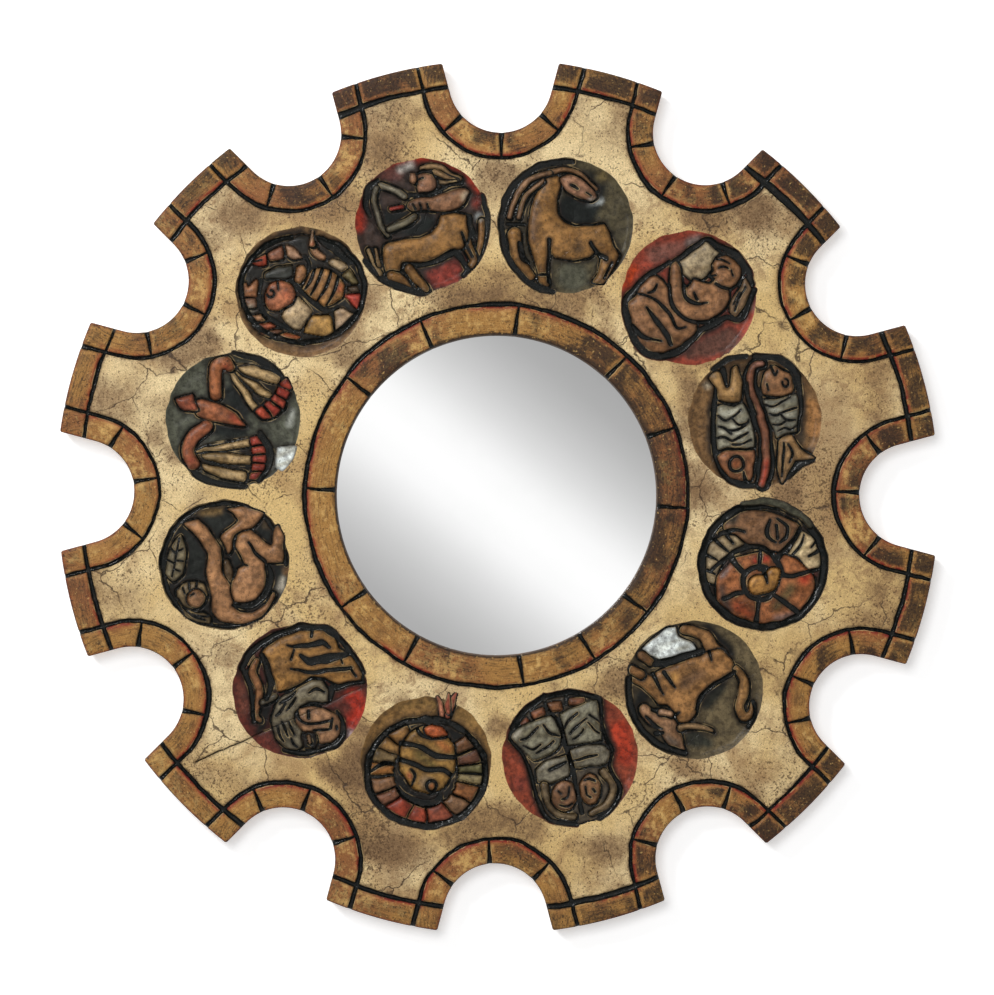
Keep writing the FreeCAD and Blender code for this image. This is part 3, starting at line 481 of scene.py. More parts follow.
# fishes
medallions.append({
    "at": (203.6, 58.7), "size": 100.0, "swell": 0.6, "ground": pot(112, 83, 52), "strokes": [
        stain(pot(150, 106, 62), (86, 20, 10), (88, -12, 10)),
        stain(pot(64, 54, 42), (70, 40, 3), (71, 0, 4), (70, -28, 4)),
        stain(pot(56, 46, 36), (-66, 20, 3), (-66, -40, 4)),
        stain(pot(176, 164, 142), (-71, 54, 2)),
        gouge((-59, 60, 3), (-59, 40, 3.5), (-62, 15, 4.5), (-62, -15, 4.5), (-58, -52, 4.5),
              (-45, -82, 4.5), (-22, -97, 4.5), (-2, -97, 4)),
        gouge((-64, 77, 2.5), (-48, 88, 4), (-30, 96, 3.5), (-14, 98, 3)),
        gouge((0, 97, 4), (34, 94, 5), (56, 79, 5.5), (67, 53, 5.5), (67, 20, 5), (65, -14, 4)),
        patch(pot(140, 108, 68), (-68, 65), (-58, 74), (-52, 72), (-44, 50), (-38, 52), (-34, 77),
              (-26, 83), (-20, 60), (-20, 40), (-22, 30), (-34, 28), (-55, 32), (-57, 48)),
        gouge((-48, 78, 4), (-43, 56, 1.5)),
        patch(pot(124, 120, 104), (-57, 20), (-46, 24), (-31, 21), (-18, 27), (-8, 8), (-2, -11), (-2, -39),
              (-30, -40), (-54, -42), (-58, -14)),
        stain(pot(164, 162, 148), (-50, 12, 1), (-22, 12, 1)),
        stain(pot(170, 168, 154), (-48, -18, 1), (-14, -14, 1)),
        stain(pot(150, 148, 134), (-28, -2, 1), (-24, -30, 1)),
        gouge((-56, 9, 1), (-44, 1, 1.8), (-35, 5, 1.4), (-22, 16, 1)),
        gouge((-35, 5, 1), (-24, -6, 1.8), (-10, -1, 1)),
        gouge((-55, -8, 1), (-43, -11, 1.8), (-35, -20, 1.2)),
        gouge((-40, -13, 1), (-28, -15, 1.6), (-16, -7, 1.6), (-9, 2, 1)),
        gouge((-56, -27, 1), (-46, -25, 1.8), (-35, -31, 1.4), (-24, -26, 1.8), (-11, -18, 1)),
        gouge((-34, -36, 1), (-20, -35, 1.6), (-6, -28, 1)),
        patch(pot(142, 94, 64), (-55, -52), (-40, -44), (-2, -44), (-2, -70), (-6, -88), (-20, -90),
              (-36, -86), (-50, -70)),
        gouge(*sweep(-28, -65, 11, 11, 0, 360, 2.4)),
        stain(pot(176, 100, 62), (-28, -65, 1)),
        gouge((-17, -76, 1.5), (-13, -92, 4)),
        gouge((-57, -46, 2), (-30, -42, 2), (-2, -42, 2)),
        limb(pot(116, 74, 54), (10, 87, 4), (-2, 82, 5), (-7, 60, 5.5), (-3, 37, 5.5), (8, 11, 5.5),
             (15, -17, 5.5), (17, -48, 6), (16, -70, 6), (11, -94, 5), line=7.0),
        stain(pot(140, 100, 88), (0, 83, 1), (8, 87, 1)),
        stain(pot(150, 58, 42), (17, -62, 2), (12, -92, 2)),
        gouge((-12, 58, 1), (-8, 34, 1.4), (2, 10, 1)),
        patch(pot(134, 96, 66), (12, 42), (11, 56), (17, 75), (31, 82), (51, 71), (59, 54), (54, 42),
              (31, 37)),
        gouge((25, 82, 2.4), (29, 70, 1.5), (34, 76, 1)),
        gouge(*sweep(46, 57, 5, 6, 0, 280, 1.8)),
        gouge((18, 56, 1), (20, 46, 1.4)),
        patch(pot(108, 106, 94), (14, 31), (34, 33), (62, 40), (65, 25), (63, -16), (45, -19), (34, -25),
              (24, -3)),
        stain(pot(158, 156, 144), (30, 16, 1), (52, 8, 1)),
        stain(pot(150, 148, 136), (44, -10, 1)),
        gouge((16, 24, 1), (28, 22, 1.6), (40, 28, 1.2), (52, 36, 1)),
        gouge((22, 10, 1), (32, 8, 1.8), (44, 14, 1.4), (62, 20, 1)),
        gouge((38, 12, 1), (46, 2, 1.8), (62, 2, 1)),
        gouge((26, -6, 1), (36, -6, 1.8), (46, 0, 1)),
        gouge((34, -16, 1), (44, -10, 1.6), (54, -14, 1.4), (63, -8, 1)),
        patch(pot(144, 112, 76), (37, -31), (48, -23), (57, -23), (70, -44), (90, -56), (78, -58),
              (60, -60), (48, -82), (40, -94), (34, -70)),
        gouge((44, -34, 1), (42, -60, 1.8), (40, -84, 1)),
        gouge((50, -36, 1), (56, -50, 1.8), (52, -62, 1)),
        gouge((50, -84, 3), (60, -72, 6), (72, -64, 5), (88, -60, 2)),
    ]})

# ram
medallions.append({
    "at": (209.9, -54.7), "size": 98.0, "swell": 0.8, "ground": pot(38, 34, 30), "strokes": [
        patch(pot(114, 82, 57), (-58, 74), (-30, 84), (5, 81), (35, 71), (56, 58), (46, 38), (28, 18),
              (16, 12), (5, 22), (-12, 29), (-28, 36), (-42, 46), (-58, 50)),
        stain(pot(60, 52, 42), (-48, 70, 8)),
        gouge((-64, 47, 4), (-44, 53, 3), (-28, 50, 1.5)),
        gouge((12, 68, 1.5), (7, 55, 3), (8, 42, 3), (20, 34, 1.5)),
        gouge((22, 70, 1.5), (36, 57, 3), (35, 42, 3), (26, 34, 1.5)),
        gouge((20, 60, 2), (22, 40, 2.6)),
        patch(pot(150, 132, 104), (-80, 32), (-62, 42), (-42, 43), (-27, 32), (-48, 20), (-60, 6),
              (-68, -10), (-66, -27), (-82, -26), (-86, 0)),
        gouge((-72, 38, 2.5), (-60, 26, 2), (-52, 20, 1)),
        gouge((-54, 42, 2.5), (-44, 32, 1.5)),
        gouge((-84, 16, 2.5), (-68, 6, 1.5)),
        gouge((-84, -8, 2.5), (-72, -14, 1.5)),
        patch(pot(182, 160, 124), (60, 50), (78, 40), (85, 22), (86, 0), (75, -8), (50, -14), (32, -8),
              (27, 2), (40, 18), (52, 38)),
        # painted highlights on the cream patch
        stain(pot(226, 208, 166), (58, 30, 1), (44, 13, 1)),
        gouge((86, 40, 3), (72, 27, 1.5)),
        gouge((82, 20, 2.5), (68, 12, 1.5)),
        gouge((62, 46, 1), (55, 28, 2), (38, 8, 1)),
        patch(pot(140, 86, 52), *oval(4, -34, 76, 54)),
        stain(pot(146, 46, 32), (-10, 6, 4), (6, 10, 3)),
        stain(pot(152, 56, 34), (62, -22, 6), (74, -12, 3)),
        stain(pot(84, 66, 40), (42, -36, 6), (20, -62, 6)),
        stain(pot(140, 66, 38), (-40, -62, 6), (-20, -74, 4)),
        stain(pot(66, 50, 42), (-52, -68, 5), (-62, -34, 3)),
        stain(pot(112, 90, 86), (-60, -15, 2), (-54, 0, 2)),
        stain(pot(112, 92, 86), (20, -80, 2), (45, -74, 2)),
        gouge((-78, -8, 3), (-62, 6, 3.5), (-40, 20, 4), (-14, 28, 4), (8, 20, 4), (22, 4, 4),
              (29, -14, 3.5)),
        gouge((28, -16, 4), (50, -16, 3.5), (80, -7, 3)),
        gouge((57, 56, 3), (42, 32, 4), (20, 8, 5)),
        gouge(*sweep(-5, -27, 25, 25, 0, 360, 4.0)),
        gouge((-47, 10, 4.5), (-27, -14, 3.5)),
        gouge((-58, -50, 4), (-28, -40, 3)),
        gouge((-10, -88, 4), (-6, -50, 3)),
        gouge((58, -74, 4.5), (16, -44, 3.5)),
        gouge((-4, 16, 3), (-5, -6, 3.5)),
        limb(pot(148, 106, 56), (-8, -30, 14), (8, -26, 13), (16, -12, 9), line=1.5),
        gouge((-2, -4, 3), (4, -14, 3), (6, -26, 1.6)),
        gouge(*sweep(0, -1, 92, 92, 0, 360, 5.5)),
        # painted sheen on the black rim at the top right
        limb(slate, (-30, 93, 3), (10, 95, 5), (45, 82, 5), (72, 60, 3), line=0.5),
    ]})

# bull
medallions.append({
    "at": (155.6, -153.2), "size": 104.0, "swell": 1.0, "ground": pot(90, 78, 56), "strokes": [
        stain(pot(34, 34, 28), (20, -20, 8), (38, 4, 9)),
        stain(pot(46, 46, 38), (0, -72, 12), (20, -80, 6)),
        stain(black, (-78, -10, 10), (-85, -35, 8)),
        stain(black, (20, 96, 4), (45, 72, 5), (58, 55, 4)),
        # painted glare on the varnish, its grey mottles in the two stains below
        patch(paintedGlare, (-76, 62), (-46, 88), (-29, 95), (-23, 80), (-5, 72), (4, 60), (-20, 55), (-46, 42),
              (-60, 50), line=3.0),
        stain(pot(120, 122, 120), (-62, 60, 3)),
        stain(pot(130, 132, 130), (-12, 66, 4)),
        limb(pot(128, 92, 56), (36, 45, 17), (26, 65, 10), (18, 80, 8), (0, 88, 6), (-15, 92, 6)),
        patch(pot(130, 93, 55), (-97, 16), (-85, 30), (-66, 20), (-48, 30), (-15, 44), (10, 50), (22, 58),
              (40, 60), (55, 46), (60, 28), (35, 12), (15, -3), (5, -20), (1, -36), (-10, -48), (-22, -48),
              (-28, -36), (-40, -22), (-52, -22), (-62, -10), (-80, 6)),
        stain(brown, (-15, 10, 6), (10, 25, 6)),
        stain(pot(150, 110, 60), (-30, 20, 4)),
        limb(pot(130, 92, 56), (-92, 30, 6), (-80, 24, 6)),
        limb(pot(120, 86, 54), (-78, 52, 6), (-66, 42, 5)),
        gouge((-62, 24, 3.5), (-54, 8, 2.5), (-45, -6, 1.5)),
        gouge((-44, 26, 3.5), (-36, 12, 2.5), (-29, 4, 1.2)),
        gouge((-58, 38, 5), (-40, 42, 6), (-15, 50, 5), (14, 60, 3.5)),
        gouge((22, 58, 2.5), (26, 44, 1.5)),
        limb(pot(142, 106, 78), (-74, -30, 8), (-62, -42, 9), (-45, -48, 12), (-34, -66, 13),
             (-22, -88, 8)),
        gouge((-62, -30, 2.5), (-46, -34, 4.5), (-32, -38, 3), (-22, -34, 1.5)),
        limb(pot(160, 124, 96), (-48, -34, 4), (-36, -37, 4), line=1.6),
        gouge((-72, -40, 2), (-58, -52, 3), (-48, -58, 1.5)),
        gouge((-56, -66, 5), (-48, -64, 3)),
        stain(pot(110, 98, 90), (-28, -80, 3), (-40, -72, 3)),
        limb(pot(150, 120, 86), (-20, -58, 4), (-4, -54, 3.4), (14, -56, 2.6), (27, -61, 1.6), line=1.8),
        limb(pot(134, 98, 58), (64, 32, 4), (74, 15, 6), (75, -5, 6), (69, -25, 5.5), (75, -41, 6),
             (85, -36, 5), (88, -20, 3)),
        gouge((61, 28, 2.5), (44, 16, 3), (24, 4, 3), (10, -10, 3), (4, -28, 2.5)),
        gouge(*sweep(0, 0, 99, 97, 188, 280, 5)),
        gouge((88, -18, 2), (92, -38, 3), (82, -56, 3)),
    ]})

# twins, heads down
medallions.append({
    "at": (57.9, -206.0), "size": 102.0, "swell": 1.2, "ground": pot(128, 58, 39), "strokes": [
        stain(pot(156, 52, 30), (75, 40, 12), (85, 0, 10)),
        stain(pot(112, 50, 38), (-75, -40, 8)),
        stain(black, (-78, 40, 8), (-60, -5, 8), (-52, -40, 8), (-38, -80, 7)),
        stain(black, (44, 78, 5), (50, 40, 7), (60, 10, 6), (60, -22, 6), (70, -50, 5), (52, -86, 8),
              (20, -95, 8)),
        patch(pot(74, 66, 55), (-90, 32), (-80, 46), (-62, 66), (-40, 82), (-10, 92), (20, 92), (44, 88),
              (48, 40), (62, 8), (58, -16), (74, -48), (66, -70), (44, -90), (10, -99), (-28, -94),
              (-46, -64), (-54, -30), (-70, 6)),
        gouge(*sweep(0, 2, 96, 95, 296, 388, 4.5)),
        patch(pot(122, 82, 55), (-33, 80), (-15, 84), (-12, 72), (-28, 68), line=2.0),
        patch(pot(124, 78, 54), (-58, 66), (-42, 74), (-38, 64), (-53, 56), line=2.0),
        patch(pot(112, 72, 52), (0, 88), (20, 89), (22, 80), (0, 78), line=2.0),
        patch(pot(118, 70, 50), (-74, 50), (-66, 59), (-61, 52), (-69, 45), line=2.0),
        patch(grey, (-88, 30), (-80, 42), (-52, 55), (-28, 61), (-18, 50), (-12, 34), (-18, 14), (-38, 1),
              (-55, -4), (-69, 10), line=1.8),
        gouge((-40, 48, 1), (-30, 37, 2), (-16, 32, 0.8)),
        gouge((-74, 26, 0.8), (-62, 30, 1.6), (-48, 44, 0.8)),
        gouge((-70, 16, 0.8), (-56, 12, 1.8), (-44, 18, 0.8)),
        gouge((-50, 6, 0.8), (-38, 12, 1.6), (-24, 24, 0.8)),
        patch(grey, (-15, 64), (10, 75), (40, 85), (44, 55), (46, 26), (24, 22), (-3, 18), (-9, 42),
              line=1.8),
        gouge((-8, 44, 0.8), (-2, 54, 1.8), (12, 66, 0.8)),
        gouge((0, 34, 0.8), (10, 46, 1.8), (24, 58, 0.8)),
        gouge((26, 52, 0.8), (34, 44, 1.8), (44, 36, 0.8)),
        gouge((28, 64, 0.8), (36, 58, 1.4), (44, 52, 0.8)),
        gouge((4, 26, 0.8), (14, 32, 1.4), (20, 42, 0.8)),
        patch(pot(106, 100, 86), (-4, 3), (-36, -6), (-50, -20), (-47, -38), (-33, -40), (-4, -28),
              (0, -12), line=1.8),
        gouge((-30, -21, 2.4), (-16, -13, 2.6), (-5, -7, 1.4)),
        patch(pot(106, 100, 86), (0, 10), (26, 17), (50, 17), (60, 5), (54, -10), (34, -13), (8, -15),
              (4, -4), line=1.8),
        gouge((7, -5, 1.4), (22, -1, 2.6), (40, 3, 1.6)),
        limb(pot(106, 90, 68), (-38, -44, 4.5), (-34, -66, 5), (-18, -86, 5), (6, -90, 4), line=1.6),
        patch(pot(128, 93, 68), *oval(-9, -58, 18, 22), line=1.8),
        gouge((-2, -46, 1.5), (-4, -60, 1.8), (-12, -64, 1.5)),
        gouge((-17, -52, 1.6), (-13, -56, 1.6)),
        gouge((-16, -72, 1.5), (-4, -74, 1.8), (4, -70, 1.5)),
        limb(pot(112, 94, 70), (50, -22, 4.5), (65, -46, 5), (56, -70, 5), (32, -84, 4), line=1.6),
        patch(pot(124, 90, 62), *oval(30, -48, 15, 23), line=1.8),
        gouge((22, -34, 1.5), (30, -32, 1.6), (38, -36, 1.5)),
        gouge((24, -44, 1.5), (25, -56, 1.6), (31, -60, 1.5)),
        gouge((35, -48, 1.6), (38, -52, 1.5)),
        gouge((-32, 70, 3), (-14, 46, 3.6), (-8, 20, 3.6), (2, -6, 3.6), (8, -40, 3.6), (17, -84, 3.6)),
        gouge((-38, 92, 3), (-36, 76, 3.2), (-26, 62, 3)),
        gouge((-6, 97, 3), (-6, 80, 3)),
        gouge((-92, 28, 2), (-72, 4, 3), (-56, -32, 3), (-48, -66, 3.5), (-30, -96, 3.5), (10, -101, 3.5)),
        gouge((46, 88, 2.5), (49, 40, 3), (63, 8, 3), (60, -16, 3), (76, -48, 3.5), (67, -72, 3.5),
              (44, -92, 3.5)),
        # painted highlight at the left corner
        stain(pot(170, 162, 148), (-84, 32, 1), (-78, 36, 1)),
    ]})

# crab
medallions.append({
    "at": (-55.5, -209.9), "size": 98.0, "swell": 1.0, "ground": pot(116, 86, 48), "strokes": [
        stain(pot(128, 98, 56), (-40, 82, 4), (0, 90, 5), (70, 62, 6)),
        patch(black, *oval(0, -16, 92, 83), line=2.0),
        *cells(0, -16, (50, 52), (85, 76), [
            (317, 339, ochre), (300, 314, pot(124, 92, 52)), (284, 298, pot(112, 92, 62)),
            (268, 281, pot(150, 100, 52)), (246, 262, pot(122, 88, 62)), (229, 243, pot(116, 76, 56)),
            (202, 226, pot(148, 62, 44)), (181, 199, pot(150, 66, 46)), (152, 177, pot(128, 66, 48)),
            (129, 148, pot(112, 82, 58)), (108, 126, pot(128, 82, 48)), (92, 104, pot(126, 112, 80)),
            (80, 90, pot(96, 90, 58)), (62, 77, pot(84, 54, 40)), (44, 59, pot(92, 62, 40)),
        ]),
        gouge((-84, -14, 2), (-64, -2, 4), (-50, -2, 3)),
        gouge(*sweep(0, -16, 89, 80, 0, 360, 5.0)),
        patch(pot(128, 96, 50), *oval(2, 4, 42, 51)),
        stain(pot(146, 88, 44), (32, 20, 4), (22, 30, 3)),
        stain(pot(104, 86, 46), (-10, 12, 6), (10, -4, 4)),
        stain(pot(112, 92, 70), (0, -30, 8)),
        stain(pot(142, 74, 48), (-24, -22, 2)),
        gouge((-36, 28, 4), (-12, 24, 3.5), (16, 9, 4), (42, 7, 3.5)),
        gouge((-40, 4, 3.5), (-18, -3, 4), (0, -11, 4), (20, -11, 4), (38, -20, 4)),
        patch(pot(156, 80, 46), (-2, 50), (8, 56), (22, 52), (32, 40), (15, 37), (2, 41), line=2.0),
        gouge((-14, 50, 2), (-6, 40, 3), (8, 35, 2.4), (26, 36, 1.6)),
        gouge((-22, -12, 1.4), (-17, -22, 2), (-22, -36, 1.4)),
        gouge(*sweep(8, -36, 8, 9, 0, 360, 2.4)),
        stain(orange, (8, -36, 1)),
        gouge((-42, -40, 3), (-33, -51, 5), (-14, -60, 6), (6, -62, 7), (18, -56, 6), (22, -46, 3)),
        limb(pot(178, 116, 90), (24, 70, 3), (22, 86, 3), (17, 98, 1), line=1.2),
        limb(pot(168, 90, 70), (32, 70, 4), (39, 88, 4), (46, 102, 1), line=1.2),
        limb(pot(158, 84, 64), (33, 76, 3), (33, 90, 3), (34, 102, 1), line=1.0),
        gouge((-16, 64, 2), (4, 62, 5), (20, 64, 5), (36, 58, 4)),
    ]})

# lion
medallions.append({
    "at": (-154.8, -154.0), "size": 101.0, "swell": 0.6, "ground": pot(88, 38, 29), "strokes": [
        stain(pot(98, 54, 42), (-88, 5, 6), (-85, -30, 6)),
        stain(pot(144, 38, 22), (80, -8, 10), (90, -25, 8), (76, -48, 8)),
        stain(pot(172, 150, 150), (74, -64, 3)),
        stain(black, (-48, 30, 6), (-45, 0, 7), (-55, -45, 7), (-62, -60, 4)),
        stain(black, (10, -88, 8), (40, -82, 7), (60, -68, 4)),
        limb(pot(132, 90, 58), (-66, 45, 4), (-72, 28, 5.5), (-62, 4, 5.5), (-63, -18, 5), (-67, -36, 4.5),
             (-60, -43, 3)),
        limb(pot(84, 78, 66), (-56, -18, 4), (-38, -8, 4), line=1.6),
        patch(pot(132, 95, 51), (-58, 58), (-48, 68), (-23, 82), (0, 90), (34, 90), (51, 79), (57, 64),
              (74, 56), (82, 42), (93, 28), (90, 17), (57, 10), (37, 20), (17, 22), (0, 11), (-20, 3),
              (-34, 0), (-40, 22), (-51, 37)),
        stain(pot(120, 88, 52), (-30, 40, 8)),
        stain(pot(156, 106, 70), (84, 24, 2)),
        gouge((-18, 69, 2), (-6, 67, 3), (14, 69, 3.5), (34, 74, 4), (44, 66, 3)),
        gouge((-9, 62, 1.5), (-14, 48, 1.5)),
        gouge((2, 54, 2.5), (14, 45, 6), (30, 47, 7), (48, 50, 6.5), (64, 54, 5), (76, 57, 3)),
        gouge((-14, 34, 1.5), (14, 28, 3), (42, 31, 3.5), (76, 35, 3)),
        gouge((60, 54, 2), (64, 42, 2)),
        gouge((56, 4, 4), (74, 10, 3), (94, 14, 3)),
        gouge((18, 93, 3), (17, 83, 3)),
        gouge((76, 34, 2), (84, 22, 2)),
        gouge((-88, 35, 4), (-75, 57, 5), (-55, 73, 4.5), (-30, 87, 4.5), (-2, 97, 4.5), (20, 96, 4.5),
              (46, 92, 4), (62, 74, 4), (80, 54, 3.5), (96, 28, 3)),
        gouge((-84, 30, 4), (-76, 8, 4), (-72, -20, 3.5), (-70, -46, 3)),
        gouge((-58, 54, 4), (-49, 34, 5.5), (-44, 6, 5), (-50, -12, 3.5)),
        patch(pot(104, 96, 79), (-42, -46), (-37, -23), (-23, -6), (0, 6), (17, 15), (34, 14), (41, 0),
              (43, -14), (31, -18), (14, -15), (0, -23), (-9, -32), (-9, -48), (2, -58), (4, -80),
              (-6, -88), (-23, -85), (-37, -70)),
        gouge((-30, -20, 1), (-18, -12, 2.2), (-6, 0, 1)),
        gouge((-36, -38, 1), (-28, -30, 2), (-22, -20, 1)),
        gouge((-20, -30, 1), (-14, -22, 2.2), (-6, -10, 1)),
        gouge((-28, -46, 1), (-22, -58, 2.2), (-18, -68, 1)),
        gouge((-34, -54, 1), (-30, -66, 2), (-24, -76, 1)),
        gouge((-16, -46, 1), (-12, -58, 2.2), (-8, -66, 1)),
        gouge((-14, -70, 1), (-10, -78, 2), (-4, -84, 1)),
        gouge((14, -2, 1.6), (24, 3, 2.8), (36, -2, 1.6)),
        patch(pot(136, 100, 72), (-6, -36), (0, -25), (17, -22), (34, -26), (54, -37), (60, -48), (59, -65),
              (46, -77), (31, -79), (24, -72), (20, -61), (5, -60), (-6, -48), line=1.0),
        gouge((-5, -30, 2), (-3, -42, 2.2), (8, -48, 2.2), (26, -48, 2), (44, -45, 1.6)),
        gouge((12, -29, 2.4), (14, -40, 3)),
        gouge((0, -24, 1.6), (16, -20, 2.2), (32, -24, 1.6)),
        gouge((48, -42, 1.6), (46, -56, 2)),
        gouge((20, -59, 2), (32, -58, 1.8), (44, -57, 1.6)),
        gouge((54, -54, 1.6), (55, -58, 2.2)),
        patch(black, (4, -64), (22, -62), (25, -74), (22, -86), (6, -86), line=1.0),
        limb(pot(140, 108, 80), (12, -68, 2), (14, -78, 2.2), line=1.2),
        gouge((48, 4, 5), (45, -12, 4)),
        gouge((56, -32, 2), (65, -50, 3.5), (64, -70, 4), (48, -84, 4), (26, -90, 4), (0, -94, 4),
              (-24, -90, 3.5)),
    ]})

# maiden
medallions.append({
    "at": (-214.6, -54.7), "size": 98.0, "swell": 0.4, "ground": pot(24, 26, 23), "strokes": [
        stain(pot(112, 88, 52), (-34, 82, 6), (-8, 86, 6)),
        stain(pot(92, 72, 46), (66, 66, 7)),
        stain(pot(136, 100, 64), (96, -8, 4)),
        gouge(*sweep(0, 0, 93, 93, 132, 450, 3.2)),
        # painted highlight on the black ground at the right
        stain(pot(172, 164, 150), (87, -22, 1), (84, -36, 2)),
        limb(pot(86, 68, 48), (4, 3, 5), (7, -10, 6), (4, -26, 4), line=1.6),
        patch(pot(118, 108, 86), (-66, 45), (-58, 26), (-60, 4), (-63, -14), (-78, -25), (-89, -12),
              (-85, 14), (-76, 34)),
        gouge((-68, 40, 1), (-72, 14, 1.6), (-79, -18, 1)),
        gouge((-62, 24, 0.8), (-71, 20, 1.4)),
        gouge((-62, 6, 0.8), (-73, 6, 1.4)),
        gouge((-66, -10, 0.8), (-76, -6, 1.4)),
        gouge((-80, 26, 0.8), (-72, 16, 1.4)),
        gouge((-86, 8, 0.8), (-75, 2, 1.4)),
        patch(pot(116, 98, 70), (-72, -38), (-61, -29), (-45, -26), (-31, -30), (-26, -44), (-30, -58),
              (-46, -66), (-62, -62), (-70, -50)),
        gouge((-62, -34, 1), (-58, -42, 1.6)),
        gouge((-52, -29, 1), (-51, -37, 1.6)),
        gouge((-42, -28, 1), (-42, -37, 1.6)),
        patch(pot(114, 98, 70), (-70, -52), (-60, -66), (-44, -72), (-30, -72), (-20, -80), (-22, -89),
              (-40, -86), (-58, -76)),
        gouge((-62, -64, 1), (-46, -78, 1.6), (-28, -84, 1)),
        gouge((-48, -74, 1), (-34, -78, 1.4), (-24, -78, 1)),
        limb(pot(140, 103, 73), (-42, -51, 13), line=1.8),
        gouge((-50, -46, 1.5), (-45, -44, 1.6)),
        patch(tan, (4, 85), (23, 87), (42, 85), (59, 77), (51, 65), (42, 55), (25, 52), (15, 46), (12, 39),
              (13, 25), (6, 16), (0, 28), (-5, 42), (3, 51), (17, 62), (21, 68), (14, 78)),
        patch(tan, (-61, 62), (-51, 66), (-40, 68), (-30, 59), (-17, 44), (-6, 25), (-3, 6), (-3, -11),
              (9, -31), (12, -48), (12, -63), (23, -71), (42, -71), (62, -60), (74, -42), (77, -48),
              (62, -71), (42, -85), (17, -89), (-6, -83), (-18, -70), (-18, -48), (-25, -25), (-27, -8),
              (-25, 17), (-34, 34), (-48, 49)),
        patch(pot(140, 101, 69), (20, 44), (28, 49), (40, 51), (48, 46), (56, 37), (68, 30), (73, 34),
              (76, 54), (81, 59), (88, 45), (89, 25), (87, 4), (62, 4), (61, -6), (63, -17), (61, -34),
              (48, -51), (31, -56), (15, -54), (11, -37), (11, -25), (17, -17), (21, -6), (30, -1),
              (27, 11), (18, 28)),
        gouge((37, 34, 1.5), (46, 19, 2.2), (62, 5, 2.6)),
        gouge((27, 1, 1.5), (34, -1, 1.6)),
        gouge((13, -60, 3), (31, -63, 3.5), (50, -58, 3.5), (66, -40, 4), (71, -18, 4.5), (68, -2, 3.5)),
    ]})

# scales
medallions.append({
    "at": (-207.5, 59.5), "size": 101.0, "swell": 0.8, "ground": pot(72, 73, 62), "strokes": [
        stain(night, (0, 40, 14), (10, 15, 14), (-20, -12, 12), (10, -12, 12)),
        stain(black, (40, 85, 6), (20, 20, 6)),
        gouge((2, 100, 3), (40, 90, 5), (66, 72, 4), (86, 46, 2)),
        gouge((40, -18, 4), (54, -42, 5), (54, -66, 5), (38, -92, 4)),
        gouge((-70, -66, 1), (-52, -84, 5), (-20, -97, 4), (20, -100, 3)),
        # painted glare on the varnish at the lower right
        patch(paintedGlare, (67, -43), (96, -40), (90, -60), (74, -77), (64, -70), line=0.0),
        # painted highlights at the right
        stain(pot(150, 152, 146), (88, 12, 1), (84, -6, 1)),
        patch(pot(24, 23, 20), (-4, 76), (8, 84), (40, 82), (72, 64), (60, 36), (38, 12), (26, 22),
              line=1.0),
        patch(cream, (8, 80), (36, 80), (70, 64), (66, 56), (44, 60), (18, 70)),
        patch(cream, (2, 74), (14, 66), (36, 54), (59, 36), (50, 34), (34, 42), (18, 58)),
        patch(cream, (-4, 72), (6, 64), (24, 40), (38, 18), (30, 14), (16, 36), (0, 60), line=2.0),
        patch(pot(146, 56, 40), (80, 62), (72, 56), (77, 44), (87, 49)),
        patch(pot(136, 50, 38), (70, 50), (83, 42), (80, 30), (66, 40)),
        patch(pot(146, 60, 44), (63, 38), (79, 27), (73, 16), (57, 30)),
        patch(pot(132, 48, 36), (54, 28), (70, 14), (60, 5), (46, 22)),
        patch(pot(150, 62, 42), (43, 20), (57, 4), (44, 2), (34, 12)),
        patch(pot(24, 23, 20), (-54, -44), (20, -26), (34, -40), (34, -80), (16, -94), (-40, -76),
              line=1.0),
        patch(cream, (-56, -47), (-20, -38), (24, -28), (26, -38), (-10, -44)),
        patch(cream, (-46, -52), (-16, -50), (26, -54), (26, -66), (-20, -64), (-42, -58)),
        patch(cream, (-48, -66), (-20, -71), (18, -79), (16, -92), (-20, -86), (-42, -76)),
        patch(pot(138, 56, 44), (26, -27), (36, -25), (44, -37), (29, -38), line=2.0),
        patch(pot(148, 62, 46), (29, -41), (45, -40), (48, -50), (30, -51), line=2.0),
        patch(pot(138, 56, 44), (30, -54), (48, -53), (48, -63), (30, -63), line=2.0),
        patch(pot(146, 60, 46), (29, -66), (47, -66), (44, -76), (28, -76), line=2.0),
        patch(pot(126, 52, 42), (26, -79), (42, -79), (34, -89), (24, -88), line=2.0),
        limb(pot(138, 84, 52), (-26, 38, 8), (-28, 62, 9), (-24, 82, 9), (-12, 87, 9), (-4, 80, 7)),
        stain(pot(140, 66, 44), (-10, 80, 3)),
        patch(pot(136, 82, 54), (-62, 24), (-46, 31), (-21, 24), (4, 10), (18, -8), (-10, -5), (-34, 0),
              (-54, 8)),
        stain(pot(140, 62, 42), (0, 4, 3), (10, -4, 2)),
        patch(pot(136, 74, 54), (-86, 32), (-62, 38), (-58, 26), (-54, 16), (-72, 14), (-80, 20)),
        limb(pot(138, 80, 54), (-40, -10, 9), (-60, -26, 10), (-68, -46, 9), (-60, -66, 9)),
        stain(pot(130, 58, 42), (-62, -60, 2)),
    ]})

